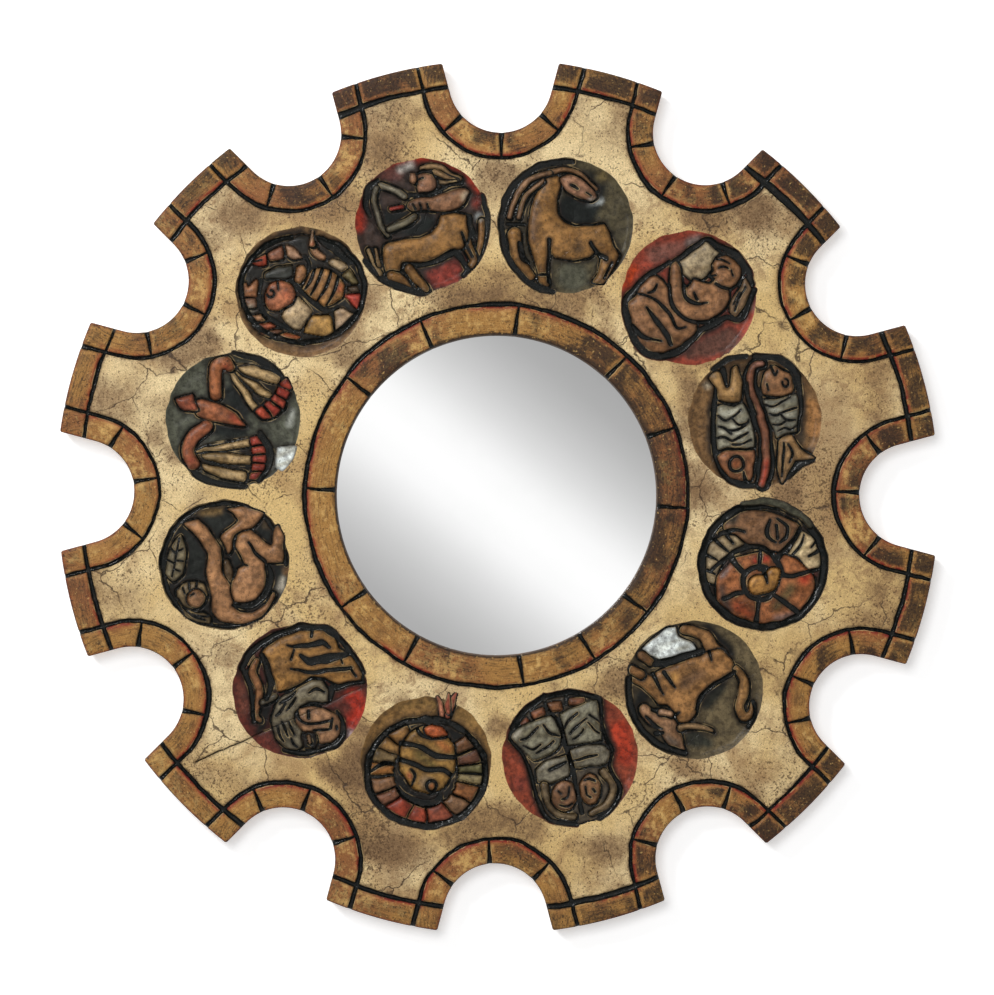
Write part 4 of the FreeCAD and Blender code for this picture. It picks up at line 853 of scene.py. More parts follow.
# scorpion
medallions.append({
    "at": (-154.0, 160.3), "size": 98.0, "swell": 0.6, "ground": pot(122, 93, 62), "strokes": [
        stain(pot(104, 78, 54), (0, -88, 5), (50, -80, 4)),
        stain(pot(60, 50, 42), (-30, 88, 4), (0, 92, 3)),
        patch(pot(30, 29, 26), *oval(2, 5, 95, 82), line=2.0),
        patch(pot(166, 72, 52), (-75, 44), (-64, 52), (-52, 58), (-52, 40), (-62, 38), line=1.8),
        gouge((-72, 46, 1), (-60, 48, 1.4)),
        patch(pot(118, 78, 60), (-51, 59), (-28, 69), (-28, 51), (-47, 46), line=1.8),
        patch(pot(144, 112, 90), (-22, 70), (-12, 68), (3, 52), (-12, 49), (-22, 54), line=1.8),
        patch(pot(142, 96, 66), (-89, 5), (-87, 14), (-82, 15), (-80, 8), (-69, 18), (-65, 17), (-67, -7),
              (-87, -7), line=1.8),
        patch(pot(114, 86, 70), (-89, -10), (-69, -10), (-67, -22), (-83, -24), line=1.8),
        stain(pot(176, 168, 152), (-76, -24, 1)),
        patch(pot(150, 110, 80), (-80, -36), (-58, -33), (-49, -41), (-74, -44), line=1.4),
        patch(pot(148, 80, 56), (-72, -48), (-48, -46), (-38, -52), (-63, -57), line=1.4),
        patch(pot(122, 82, 60), (-62, -61), (-38, -56), (-28, -60), (-49, -68), line=1.4),
        patch(pot(184, 104, 66), (-43, -69), (-22, -62), (0, -67), (-17, -73), line=1.4),
        patch(pot(60, 61, 58), (-54, 28), (-34, 39), (-14, 41), (-12, 26), (-20, 20), (-54, 20), line=1.8),
        limb(pot(150, 112, 84), (18, 74, 4), (20, 62, 5), (28, 54, 5), (33, 51, 3.5), line=1.8),
        limb(pot(140, 110, 84), (17, 92, 1.2), (16, 82, 2.6), (17, 72, 4), line=1.4),
        stain(pot(160, 80, 54), (20, 72, 1)),
        patch(pot(154, 134, 108), (41, 46), (48, 50), (66, 44), (71, 38), (60, 31), (47, 39), line=1.8),
        patch(pot(106, 94, 64), (61, 25), (73, 35), (85, 14), (76, 11), line=1.8),
        patch(pot(78, 64, 52), (70, 7), (83, 9), (87, 0), (76, 0), line=1.6),
        patch(pot(156, 60, 48), (66, -4), (88, -3), (89, -14), (84, -26), (73, -14), line=1.8),
        patch(pot(172, 146, 120), (51, -29), (65, -25), (83, -37), (70, -51), (51, -60), line=1.8),
        patch(pot(144, 110, 62), (14, -35), (44, -36), (48, -59), (42, -67), (4, -60), line=1.8),
        patch(pot(160, 138, 108), (-13, -10), (-3, -7), (16, -29), (-1, -54), (-11, -56), (-30, -37),
              line=1.8),
        patch(pot(150, 106, 72), (-10, 17), (-7, 37), (4, 40), (9, 28), (-1, 13), line=1.8),
        patch(pot(142, 102, 62), (3, 6), (18, 34), (37, 35), (56, 23), (65, 9), (62, -9), (48, -18),
              (34, -21), (17, -9), line=1.8),
        stain(pot(150, 80, 52), (58, 6, 4)),
        gouge((22, 37, 2.0), (17, 22, 2.4), (7, 5, 1.6)),
        gouge((33, 37, 2.0), (27, 18, 2.4), (15, -4, 1.6)),
        gouge((45, 33, 2.0), (40, 12, 2.4), (24, -14, 1.6)),
        gouge((56, 25, 2.0), (51, 4, 2.4), (38, -20, 1.6)),
        patch(pot(140, 86, 60), (-54, -3), (-48, 11), (-31, 17), (-14, 11), (-8, -3), (-15, -17),
              (-34, -29), (-48, -27), (-54, -16), line=1.8),
        stain(pot(150, 84, 58), (-22, -4, 4)),
        gouge(*sweep(-45, -2, 6, 5, 0, 260, 1.8)),
        gouge((-36, 14, 1.2), (-34, 4, 1.4)),
        gouge((-17, 18, 3), (3, 0, 3.6), (22, -19, 3.8), (42, -28, 3.8), (56, -24, 3)),
        gouge((-60, 18, 3), (-63, -8, 4), (-54, -34, 4), (-34, -48, 4), (-11, -60, 3.5)),
        gouge((28, 80, 4.5), (50, 64, 5.5), (74, 44, 4)),
        gouge((7, 54, 3), (12, 42, 3), (10, 26, 2.4)),
        gouge(*sweep(2, 5, 93, 80, 20, 350, 4.0)),
    ]})


def carveFace(x, z):
    face = carveBoard(x, z)
    count = len(x)
    face["cover"] = np.full(count, -30.0)
    face["paint"] = np.tile(np.array(ochre), (count, 1))
    for sign in medallions:
        inside = np.hypot(x - sign["at"][0], z - sign["at"][1]) < medallion["reach"]
        cut = carveMedallion(sign, x[inside], z[inside])
        mine = cut["cover"] > -3.0
        spot = np.flatnonzero(inside)[mine]
        face["cover"][spot] = cut["cover"][mine]
        face["paint"][spot] = cut["paint"][mine]
        face["height"][spot] += rise(cut["cover"][mine], -0.6, 0.8) * cut["height"][mine]
        discInk = np.where(cut["cover"][mine] > -0.4, cut["ink"][mine], far)
        face["ink"][spot] = np.minimum(face["ink"][spot], discInk)
    return face


# net of points, mm: fine where the knife went, coarse on the flat field
netPlan = {
    "step": 0.75, "quickStep": 1.5,              # between the finest points, and for a quick try
    "span": 356.0, "reach": 350.0,
    "bowl": 1.3, "edge": 1.4, "sight": 1.2, "joint": 1.1, "lip": 3.0,  # spacing along the edges
    "fine": 1.3, "cover": 0.9, "scrape": 1.2,    # finest this near to a cut, a disc's rim, the scrape
    "near": 5.0,                                 # half as fine this near to a cut or an edge
    "clear": 2.7, "rows": (0.45, 1.05, 1.9),     # along the edges there are rows instead
    "jointClear": 0.5, "weld": 0.02,
}


# outline loop, one notch and one tooth end at a time
def flank(k, hand, tip):  # straight side of notch k from its bowl to the tooth end
    footSide = notches[k][1] + hand * panel["notch"] * flareCos
    footOut = notches[k][0] + panel["notch"] * (1.0 - flareSin)
    along = hand * footSide * flareSin + footOut * flareCos
    length = math.sqrt(along ** 2 - footSide ** 2 - footOut ** 2 + tip ** 2) - along
    steps = np.linspace(0.0, length - panel["corner"], int(length / netPlan["edge"]))
    points = [(footSide + hand * flareSin * s, footOut + flareCos * s) for s in steps]
    end = (footSide + hand * flareSin * length, footOut + flareCos * length)
    return points, math.atan2(end[0], end[1])


def outlineLoop():
    loop = []
    half = math.radians(90.0 - panel["flare"])
    radius = panel["notch"]
    bowlTurns = np.linspace(-half, half, int(2.0 * half * radius / netPlan["bowl"]))[1:-1]
    for k in range(12):
        turn = math.radians(30.0 * k)
        floor, slip = notches[k][:2]
        bowl = [(slip + radius * math.sin(t), floor + radius * (1.0 - math.cos(t))) for t in bowlTurns]
        before = flank(k, -1.0, toothTips[k - 1])[0]
        after, begin = flank(k, 1.0, toothTips[k])
        for side, out in before[::-1] + bowl + after:
            loop.append((side * math.cos(turn) + out * math.sin(turn),
                         out * math.cos(turn) - side * math.sin(turn)))
        # tooth end as far as the next notch
        end = flank((k + 1) % 12, -1.0, toothTips[k])[1] + math.radians(30.0)
        trim = panel["corner"] / toothTips[k]
        count = int((end - begin) * toothTips[k] / netPlan["edge"])
        tipTurns = np.linspace(begin + trim, end - trim, count) + turn
        loop.extend((toothTips[k] * math.sin(t), toothTips[k] * math.cos(t)) for t in tipTurns)
    return loop


def onJoint(along, across):
    return (along * jointCos - across * jointSin, along * jointSin + across * jointCos)


def jointRun(across, hand):  # one glue joint from the mirror hole out through the rim
    inner = math.sqrt(panel["sight"] ** 2 - across ** 2)
    lip = math.sqrt(panel["rebate"] ** 2 - across ** 2)
    stops = list(np.linspace(inner, lip, 9)) + [lip + netPlan["joint"] * s for s in range(1, 260)]
    return [onJoint(hand * along, across) for along in stops]


def ringLoop(radius, spacing):  # circle that passes through the four joint ends
    reach = math.degrees(math.asin(panel["jointOff"] / radius))
    stops = [panel["jointAngle"] + turn
             for turn in (-reach, reach, 180.0 - reach, 180.0 + reach, 360.0 - reach)]
    loop = []
    for start, end in zip(stops[:-1], stops[1:]):
        count = int(math.radians(end - start) * radius / spacing)
        for turn in np.radians(np.linspace(start, end, count)[:-1]):
            loop.append((radius * math.cos(turn), radius * math.sin(turn)))
    return loop


def innerRow(loop, offset):  # points a little way into the wood from an edge
    p = np.array(loop)
    run = np.roll(p, -1, axis=0) - np.roll(p, 1, axis=0)
    length = np.hypot(run[:, 0], run[:, 1])
    return p + offset * np.stack([run[:, 1] / length, -run[:, 0] / length], axis=1)


def layNet(points, ties):
    laid = delaunay_2d_cdt(points, ties, [], 0, netPlan["weld"])
    return np.array([(p[0], p[1]) for p in laid[0]]), np.array(laid[2])


def woodFaces(spots, faces):  # middles of a net's faces, and which of them lie in the wood
    mids = spots[faces].mean(axis=1)
    wood = np.hypot(mids[:, 0], mids[:, 1]) > panel["sight"] - 0.02
    wood &= carveBoard(mids[:, 0], mids[:, 1])["edge"] > 0.0
    onSight = np.abs(np.hypot(spots[:, 0], spots[:, 1]) - panel["sight"]) < 0.01
    return mids, wood & ~onSight[faces].all(axis=1)  # no slivers along the opening


def plankMasks(x, z):  # which board a point of the panel falls in
    along = x * jointCos + z * jointSin
    across = z * jointCos - x * jointSin
    between = np.abs(across) < panel["jointOff"]
    return {
        "upper_plank": across > panel["jointOff"],
        "lower_plank": across < -panel["jointOff"],
        "left_block": between & (along < 0.0),
        "right_block": between & (along > 0.0),
    }


def netSpots():  # slanting rows of points, thinned out by what is carved there
    step = netPlan["step"]
    count = int(netPlan["span"] / step * 1.2)
    a, b = np.meshgrid(np.arange(-count, count + 1), np.arange(-count, count + 1))
    a, b = a.ravel(), b.ravel()
    x, z = (a + 0.5 * b) * step, b * step * math.sqrt(3.0) / 2.0
    reach = np.hypot(x, z)
    keep = (reach < netPlan["reach"]) & (reach > panel["sight"])
    a, b, x, z = a[keep], b[keep], x[keep], z[keep]
    board = carveFace(x, z)
    ink, cover, edge, near = board["ink"], board["cover"], board["edge"], netPlan["near"]
    fine = (np.abs(ink + 0.2) < netPlan["fine"]) | (np.abs(cover) < netPlan["cover"])
    fine |= board["scrape"] < netPlan["scrape"]
    middling = (a % 2 == 0) & (b % 2 == 0) & ((ink < near) | (cover > -1.0) | (edge < near))
    coarse = (a % 5 == 0) & (b % 5 == 0)
    keep = (fine | middling | coarse) & (edge > netPlan["clear"]) & (board["sightGap"] > netPlan["clear"])
    x, z = x[keep], z[keep]
    for offset in netPlan["rows"]:
        row = np.concatenate([innerRow(outline, offset), innerRow(sightLoop, offset)])
        rowBoard = carveBoard(row[:, 0], row[:, 1])
        rowGap = np.minimum(rowBoard["edge"], rowBoard["sightGap"])
        row = row[np.abs(rowGap - offset) < 0.25 * offset]
        x, z = np.append(x, row[:, 0]), np.append(z, row[:, 1])
    offJoint = np.abs(np.abs(z * jointCos - x * jointSin) - panel["jointOff"])
    keep = offJoint > netPlan["jointClear"]
    return list(zip(x[keep].tolist(), z[keep].tolist()))


outline = outlineLoop()
sightLoop = ringLoop(panel["sight"], netPlan["sight"])
joints = [jointRun(across, hand) for across in (panel["jointOff"], -panel["jointOff"])
          for hand in (1.0, -1.0)]
print("panel outline drawn,", len(outline), "points")

netStart, netTies = [], []
for loop, closed in [(outline, True), (sightLoop, True)] + [(run, False) for run in joints]:
    first = len(netStart)
    netStart.extend(loop)
    netTies.extend((i, i + 1) for i in range(first, len(netStart) - 1))
    if closed:
        netTies.append((len(netStart) - 1, first))
netPoints, netFaces = layNet(netStart + netSpots(), netTies)
print("net laid,", len(netPoints), "points")

face = carveFace(netPoints[:, 0], netPoints[:, 1])
faceMiddles, inWood = woodFaces(netPoints, netFaces)
planks = plankMasks(faceMiddles[:, 0], faceMiddles[:, 1])
print("face carved")


# node helpers
def feed(tree, socket, value):
    if isinstance(value, bpy.types.NodeSocket):
        tree.links.new(value, socket)
    elif isinstance(value, tuple) and len(value) == 3 and socket.type == "RGBA":
        socket.default_value = value + (1.0,)
    else:
        socket.default_value = value


def noise(tree, vector, scale, detail=4.0, rough=0.55, warp=0.0):
    node = tree.nodes.new("ShaderNodeTexNoise")
    feed(tree, node.inputs["Vector"], vector)
    for name, value in (("Scale", scale), ("Detail", detail), ("Roughness", rough), ("Distortion", warp)):
        node.inputs[name].default_value = value
    return node.outputs["Fac"]


def ranged(tree, value, low, high, start=0.0, end=1.0):
    node = tree.nodes.new("ShaderNodeMapRange")
    node.interpolation_type = "SMOOTHSTEP"
    feed(tree, node.inputs[0], value)
    for index, number in enumerate((low, high, start, end)):
        node.inputs[index + 1].default_value = number
    return node.outputs[0]


def blend(tree, amount, first, second, mode="MIX"):
    node = tree.nodes.new("ShaderNodeMix")
    node.data_type, node.blend_type = "RGBA", mode
    for index, value in ((0, amount), (6, first), (7, second)):
        feed(tree, node.inputs[index], value)
    return node.outputs[2]


def mixed(tree, amount, first, second):
    node = tree.nodes.new("ShaderNodeMix")
    for index, value in ((0, amount), (2, first), (3, second)):
        feed(tree, node.inputs[index], value)
    return node.outputs[0]


def sums(tree, kind, first, second=0.0):
    node = tree.nodes.new("ShaderNodeMath")
    node.operation = kind
    feed(tree, node.inputs[0], first)
    feed(tree, node.inputs[1], second)
    return node.outputs[0]


def plus(tree, first, second):
    return sums(tree, "ADD", first, second)


def less(tree, first, second):
    return sums(tree, "SUBTRACT", first, second)


def times(tree, first, second):
    return sums(tree, "MULTIPLY", first, second)


def attribute(tree, name, output="Fac"):
    node = tree.nodes.new("ShaderNodeAttribute")
    node.attribute_name = name
    return node.outputs[output]


def place(tree):
    return tree.nodes.new("ShaderNodeTexCoord").outputs["Object"]


def vectorStep(tree, kind, vector, second):
    node = tree.nodes.new("ShaderNodeVectorMath")
    node.operation = kind
    feed(tree, node.inputs[0], vector)
    node.inputs[1].default_value = second
    return node


def stretched(tree, vector, scale):
    return vectorStep(tree, "MULTIPLY", vector, scale).outputs[0]


def bump(tree, shader, height, strength, distance):
    node = tree.nodes.new("ShaderNodeBump")
    node.inputs["Strength"].default_value = strength
    node.inputs["Distance"].default_value = distance
    feed(tree, node.inputs["Height"], height)
    tree.links.new(node.outputs[0], shader.inputs["Normal"])


def newPaint(name):
    paint = bpy.data.materials.new(name)
    paint.use_nodes = True
    return paint, paint.node_tree, paint.node_tree.nodes["Principled BSDF"]


# painted front: aged gesso field, ochre bands, medallion colours, black in the cuts
frontLook = {
    "light": pot(214, 183, 124), "pale": pot(232, 209, 161), "brown": pot(164, 129, 86),
    "dark": pot(110, 84, 58), "smudge": pot(154, 122, 86), "crack": pot(58, 42, 30), "speck": pot(78, 57, 37),
    "ochre": pot(168, 124, 66), "rust": pot(146, 96, 56), "gold": pot(212, 172, 104),
    # sootAndShade colours real soot and also painted shade
    "umber": pot(84, 57, 34), "sootAndShade": pot(44, 32, 24), "bole": pot(142, 34, 26),
    # edge colours the light line along the cuts, partly painted highlight
    "edge": pot(222, 192, 136), "chalk": pot(232, 226, 212),
    "black": pot(21, 23, 22), "worn": pot(48, 42, 36), "shine": 0.32,
}


def paintGrain(tree, at):  # grain that several layers share
    paper = noise(tree, at, 900.0, 2.0, 0.5)
    return {
        "stipple": noise(tree, at, 560.0, 4.0, 0.62),
        "grit": noise(tree, at, 210.0, 6.0, 0.7),
        "cloud": noise(tree, at, 9.0, 5.0, 0.55),
        "tooth": blend(tree, ranged(tree, paper, 0.34, 0.66), (0.80, 0.78, 0.74), (1.10, 1.10, 1.10)),
    }


def crackNet(tree, at):  # fine wandering cracks, in places only
    swirl = tree.nodes.new("ShaderNodeTexNoise")
    swirl.inputs["Scale"].default_value = 60.0
    swirl.inputs["Detail"].default_value = 4.0
    tree.links.new(at, swirl.inputs["Vector"])
    wander = vectorStep(tree, "MULTIPLY_ADD", swirl.outputs["Color"], (0.018, 0.018, 0.018))
    tree.links.new(at, wander.inputs[2])
    crackle = tree.nodes.new("ShaderNodeTexVoronoi")
    crackle.feature = "DISTANCE_TO_EDGE"
    crackle.inputs["Scale"].default_value = 17.0
    tree.links.new(wander.outputs[0], crackle.inputs["Vector"])
    line = ranged(tree, crackle.outputs["Distance"], 0.002, 0.011, 1.0, 0.0)
    return times(tree, line, ranged(tree, noise(tree, at, 17.0, 3.0), 0.43, 0.54))


def fieldTone(tree, at, grain, crack):  # gold ground, brown clouds, grime, pits and specks in drifts, cracks
    look = frontLook
    dirt = attribute(tree, "dirt")
    tone = blend(tree, ranged(tree, grain["cloud"], 0.40, 0.62), look["light"], look["pale"])
    mottle = ranged(tree, noise(tree, at, 16.0, 10.0, 0.66, 0.6), 0.50, 0.68, 0.0, 0.75)
    tone = blend(tree, mottle, tone, look["brown"])
    marbled = ranged(tree, noise(tree, at, 95.0, 9.0, 0.74, 0.5), 0.47, 0.62, 0.0, 0.75)
    marbled = times(tree, marbled, ranged(tree, noise(tree, at, 5.0, 2.0), 0.42, 0.58))
    tone = blend(tree, marbled, tone, look["smudge"])
    smudge = ranged(tree, noise(tree, at, 6.0, 8.0, 0.6, 0.3), 0.53, 0.68, 0.0, 0.7)
    tone = blend(tree, smudge, tone, look["smudge"])
    smoke = blend(tree, ranged(tree, grain["cloud"], 0.36, 0.64), look["brown"], look["smudge"])
    tone = blend(tree, ranged(tree, dirt, 0.05, 0.9, 0.0, 0.8), tone, smoke)
    grimy = plus(tree, times(tree, dirt, 0.6), grain["grit"])
    tone = blend(tree, ranged(tree, grimy, 0.60, 1.20, 0.0, 0.9), tone, look["dark"])
    stippled = plus(tree, grain["stipple"], times(tree, dirt, 0.12))
    tone = blend(tree, ranged(tree, stippled, 0.61, 0.67, 0.0, 0.7), tone, look["dark"])
    tone = blend(tree, 1.0, tone, grain["tooth"], "MULTIPLY")
    drift = ranged(tree, noise(tree, at, 13.0, 5.0, 0.6), 0.42, 0.66)
    pits = plus(tree, grain["stipple"], times(tree, drift, 0.09))
    tone = blend(tree, ranged(tree, pits, 0.625, 0.655, 0.0, 0.65), tone, look["speck"])
    flecks = plus(tree, noise(tree, at, 240.0, 2.0, 0.5), times(tree, drift, 0.11))
    tone = blend(tree, ranged(tree, flecks, 0.72, 0.765, 0.0, 0.7), tone, look["speck"])
    tone = blend(tree, times(tree, crack, 0.85), tone, look["crack"])
    return blend(tree, ranged(tree, attribute(tree, "scrape"), -0.1, 0.35, 0.7, 0.0), tone, look["chalk"])


def bandTone(tree, at, grain):  # brushed ochre over umber, gold where it is rubbed, red bole, stippled soot and shade
    look = frontLook
    # the soot mark also carries painted shade on the right of the ring and the painted shadow at the glass
    sootAndShadeAmount, grit = attribute(tree, "sootAndShade"), grain["grit"]
    brushed = stretched(tree, attribute(tree, "grain", "Vector"), (0.07, 0.6, 1.0))
    streak = noise(tree, brushed, 1.0, 8.0, 0.78)
    tone = blend(tree, ranged(tree, noise(tree, at, 11.0, 4.0), 0.42, 0.60), look["ochre"], look["rust"])
    tone = blend(tree, ranged(tree, streak, 0.48, 0.62, 0.0, 0.7), tone, look["umber"])
    blotch = noise(tree, at, 45.0, 9.0, 0.72, 0.4)
    tone = blend(tree, ranged(tree, blotch, 0.50, 0.70, 0.0, 0.5), tone, look["umber"])
    tone = blend(tree, 1.0, tone, grain["tooth"], "MULTIPLY")
    rubbed = plus(tree, times(tree, grit, 0.55), times(tree, noise(tree, at, 24.0, 4.0), 0.45))
    rubbed = less(tree, rubbed, times(tree, sootAndShadeAmount, 0.03))
    tone = blend(tree, ranged(tree, rubbed, 0.49, 0.62, 0.0, 0.85), tone, look["gold"])
    bole = times(tree, attribute(tree, "red"), ranged(tree, grit, 0.30, 0.55))
    tone = blend(tree, bole, tone, look["bole"])
    dust = plus(tree, times(tree, grit, 0.45), times(tree, streak, 0.45))
    dust = plus(tree, dust, times(tree, sootAndShadeAmount, 0.34))
    tone = blend(tree, ranged(tree, dust, 0.48, 0.80, 0.0, 0.85), tone, look["sootAndShade"])
    pits = plus(tree, grain["stipple"], times(tree, sootAndShadeAmount, 0.10))
    tone = blend(tree, ranged(tree, pits, 0.60, 0.66, 0.0, 0.75), tone, look["sootAndShade"])
    glint = ranged(tree, noise(tree, at, 400.0, 3.0, 0.6), 0.61, 0.70, 0.0, 0.6)
    return blend(tree, glint, tone, look["gold"])


def frontPaint():
    paint, tree, shader = newPaint("carved_front")
    look = frontLook
    at = place(tree)
    grain = paintGrain(tree, at)
    grit, crack = grain["grit"], crackNet(tree, at)
    ink, band, cover = attribute(tree, "ink"), attribute(tree, "band"), attribute(tree, "cover")
    field, bands = fieldTone(tree, at, grain, crack), bandTone(tree, at, grain)
    colour = blend(tree, ranged(tree, band, -0.3, 0.3), field, bands)
    # medallions: the drawn colours, scuffed and stippled
    scuff = blend(tree, ranged(tree, grit, 0.34, 0.66), (0.51, 0.50, 0.48), (1.36, 1.36, 1.30))
    drawn = blend(tree, 1.0, attribute(tree, "paint", "Color"), scuff, "MULTIPLY")
    drawn = blend(tree, ranged(tree, grain["stipple"], 0.60, 0.66, 0.0, 0.6), drawn, look["black"])
    inCover = ranged(tree, cover, -0.25, 0.25)
    colour = blend(tree, inCover, colour, drawn)
    # darker beside the cuts, a light line here and there that is partly worn paint and partly painted
    # highlight, then black in them
    corner = times(tree, ranged(tree, ink, 0.0, 2.2, 0.55, 0.0), ranged(tree, grit, 0.35, 0.6))
    colour = blend(tree, corner, colour, look["sootAndShade"])
    # painted highlight, partly worn paint: a light line along the cut edges
    lip = ranged(tree, ink, 0.35, 0.75, 1.0, 0.0)
    lip = times(tree, lip, ranged(tree, noise(tree, at, 70.0, 5.0), 0.50, 0.62))
    lip = times(tree, lip, mixed(tree, inCover, 0.5, 0.3))
    colour = blend(tree, lip, colour, look["edge"])
    blackInk = ranged(tree, ink, -0.2, 0.2, 1.0, 0.0)
    inkTone = blend(tree, ranged(tree, grit, 0.50, 0.75), look["black"], look["worn"])
    feed(tree, shader.inputs["Base Color"], blend(tree, blackInk, colour, inkTone))
    # varnish lies thick in the cuts and on the medallions
    gloss = ranged(tree, grain["cloud"], 0.3, 0.7, 0.42, 0.60)
    gloss = mixed(tree, inCover, gloss, ranged(tree, grit, 0.3, 0.7, 0.30, 0.46))
    gloss = mixed(tree, blackInk, gloss, ranged(tree, grit, 0.3, 0.7, 0.18, 0.34))
    feed(tree, shader.inputs["Roughness"], gloss)
    shader.inputs["Specular IOR Level"].default_value = look["shine"]
    relief = less(tree, plus(tree, times(tree, grain["stipple"], 0.4), grit), crack)
    relief = times(tree, relief, ranged(tree, ink, -0.3, 0.6, 0.04, 1.0))
    bump(tree, shader, relief, 0.6, 0.0006)
    return paint


sideLook = {"dark": pot(58, 42, 30), "rubbed": pot(112, 80, 48), "speck": pot(36, 28, 22)}


def sidePaint():  # sides of the panel, dark stain rubbed thin
    paint, tree, shader = newPaint("panel_sides")
    look = sideLook
    at = place(tree)
    thin = ranged(tree, noise(tree, at, 70.0, 7.0, 0.7), 0.35, 0.68)
    tone = blend(tree, thin, look["dark"], look["rubbed"])
    tone = blend(tree, ranged(tree, noise(tree, at, 300.0, 3.0), 0.55, 0.75, 0.0, 0.5), tone, look["speck"])
    feed(tree, shader.inputs["Base Color"], tone)
    feed(tree, shader.inputs["Roughness"], ranged(tree, noise(tree, at, 50.0), 0.3, 0.7, 0.45, 0.7))
    bump(tree, shader, noise(tree, stretched(tree, at, (1.0, 0.2, 1.0)), 220.0, 5.0, 0.6), 0.5, 0.0008)
    return paint


def rawWood(name, light, dark, shift=(0.0, 0.0, 0.0)):  # plain sawn wood, grain along the planks
    paint, tree, shader = newPaint(name)
    turned = tree.nodes.new("ShaderNodeVectorRotate")
    turned.rotation_type = "Y_AXIS"
    turned.inputs["Angle"].default_value = math.radians(panel["jointAngle"])
    tree.links.new(place(tree), turned.inputs["Vector"])
    wood = vectorStep(tree, "ADD", turned.outputs[0], shift).outputs[0]
    rings = tree.nodes.new("ShaderNodeTexWave")
    rings.bands_direction, rings.wave_profile = "Z", "SAW"
    feed(tree, rings.inputs["Vector"], stretched(tree, wood, (1.6, 20.0, 20.0)))
    for socket, value in (("Scale", 1.0), ("Distortion", 7.0), ("Detail", 3.0), ("Detail Scale", 0.6)):
        rings.inputs[socket].default_value = value
    lines = noise(tree, stretched(tree, wood, (3.0, 90.0, 130.0)), 2.2, 7.0, 0.62, 0.4)
    pores = noise(tree, stretched(tree, wood, (30.0, 500.0, 500.0)), 1.6, 3.0, 0.6)
    tone = blend(tree, ranged(tree, lines, 0.30, 0.70), dark, light)
    tone = blend(tree, ranged(tree, rings.outputs["Fac"], 0.55, 1.0, 0.0, 0.42), tone, dark)
    tone = blend(tree, ranged(tree, noise(tree, wood, 5.0, 4.0), 0.45, 0.72, 0.0, 0.35), tone, dark)
    tone = blend(tree, ranged(tree, pores, 0.56, 0.72, 0.0, 0.55), tone, (0.08, 0.045, 0.02))
    # dark glue line where the boards meet
    parts = tree.nodes.new("ShaderNodeSeparateXYZ")
    tree.links.new(turned.outputs[0], parts.inputs[0])
    offJoint = less(tree, sums(tree, "ABSOLUTE", parts.outputs["Z"]), panel["jointOff"] * 0.001)
    glue = ranged(tree, sums(tree, "ABSOLUTE", offJoint), 0.0003, 0.0011, 0.75, 0.0)
    tone = blend(tree, glue, tone, (0.05, 0.028, 0.014))
    feed(tree, shader.inputs["Base Color"], tone)
    feed(tree, shader.inputs["Roughness"], ranged(tree, lines, 0.3, 0.7, 0.78, 0.6))
    bump(tree, shader, plus(tree, lines, pores), 0.35, 0.0005)
    return paint


plankPaints = {"front": frontPaint(), "sides": sidePaint()}
backPaints = {  # every board from its own place in the tree
    "upper_plank": rawWood("raw_back_upper", pot(180, 142, 96), pot(140, 102, 64), (0.3, 0.1, 0.0)),
    "lower_plank": rawWood("raw_back_lower", pot(172, 133, 88), pot(132, 94, 58), (1.7, 0.4, 0.7)),
    "left_block": rawWood("raw_back_left", pot(186, 150, 104), pot(148, 110, 70), (2.9, 0.2, 1.3)),
    "right_block": rawWood("raw_back_right", pot(168, 128, 84), pot(130, 94, 60), (4.2, 0.6, 2.1)),
}
print("wood paints mixed")


# one plank: carved front, walls, flat back with the rebate step
def frontFaces(faces, px, pz):  # triangles turned to face the room
    turnOver = ((px[faces[:, 1]] - px[faces[:, 0]]) * (pz[faces[:, 2]] - pz[faces[:, 0]])
                - (px[faces[:, 2]] - px[faces[:, 0]]) * (pz[faces[:, 1]] - pz[faces[:, 0]])) < 0.0
    faces[turnOver] = faces[turnOver][:, ::-1]
    return faces


def rimEdges(faces, count):  # edges with a face on one side only
    edges = np.concatenate([faces[:, [0, 1]], faces[:, [1, 2]], faces[:, [2, 0]]])
    codes = edges.min(axis=1) * count + edges.max(axis=1)
    firsts, counts = np.unique(codes, return_index=True, return_counts=True)[1:]
    return edges[firsts[counts == 1]].tolist()


def vertexMaker(verts, xs, zs):  # puts a point behind the face, once for each depth
    made = {}

    def vertex(i, depth):
        if (i, depth) not in made:
            made[(i, depth)] = len(verts)
            verts.append([float(xs[i]), -depth, float(zs[i])])
        return made[(i, depth)]

    return vertex


def addWalls(shell, px, pz, rim):
    backVertex = vertexMaker(shell["verts"], px, pz)
    for i, j in rim:
        midX, midZ = 0.5 * (px[i] + px[j]), 0.5 * (pz[i] + pz[j])
        inRebate = math.hypot(midX, midZ) < panel["rebate"] - 0.05
        depth = panel["rebateFloor"] if inRebate else panel["back"]
        wallFace = [j, i, backVertex(i, depth), backVertex(j, depth)]
        if not inRebate:  # a joint wall also meets the step of the rebate
            for k, turn in ((j, 4), (i, 2)):
                if abs(math.hypot(px[k], pz[k]) - panel["rebate"]) < 0.02:
                    wallFace.insert(turn, backVertex(k, panel["rebateFloor"]))
        onSaw = abs(abs(midZ * jointCos - midX * jointSin) - panel["jointOff"]) < 0.05
        shell["faces"].append(wallFace)
        shell["looks"].append(2 if onSaw else 1)


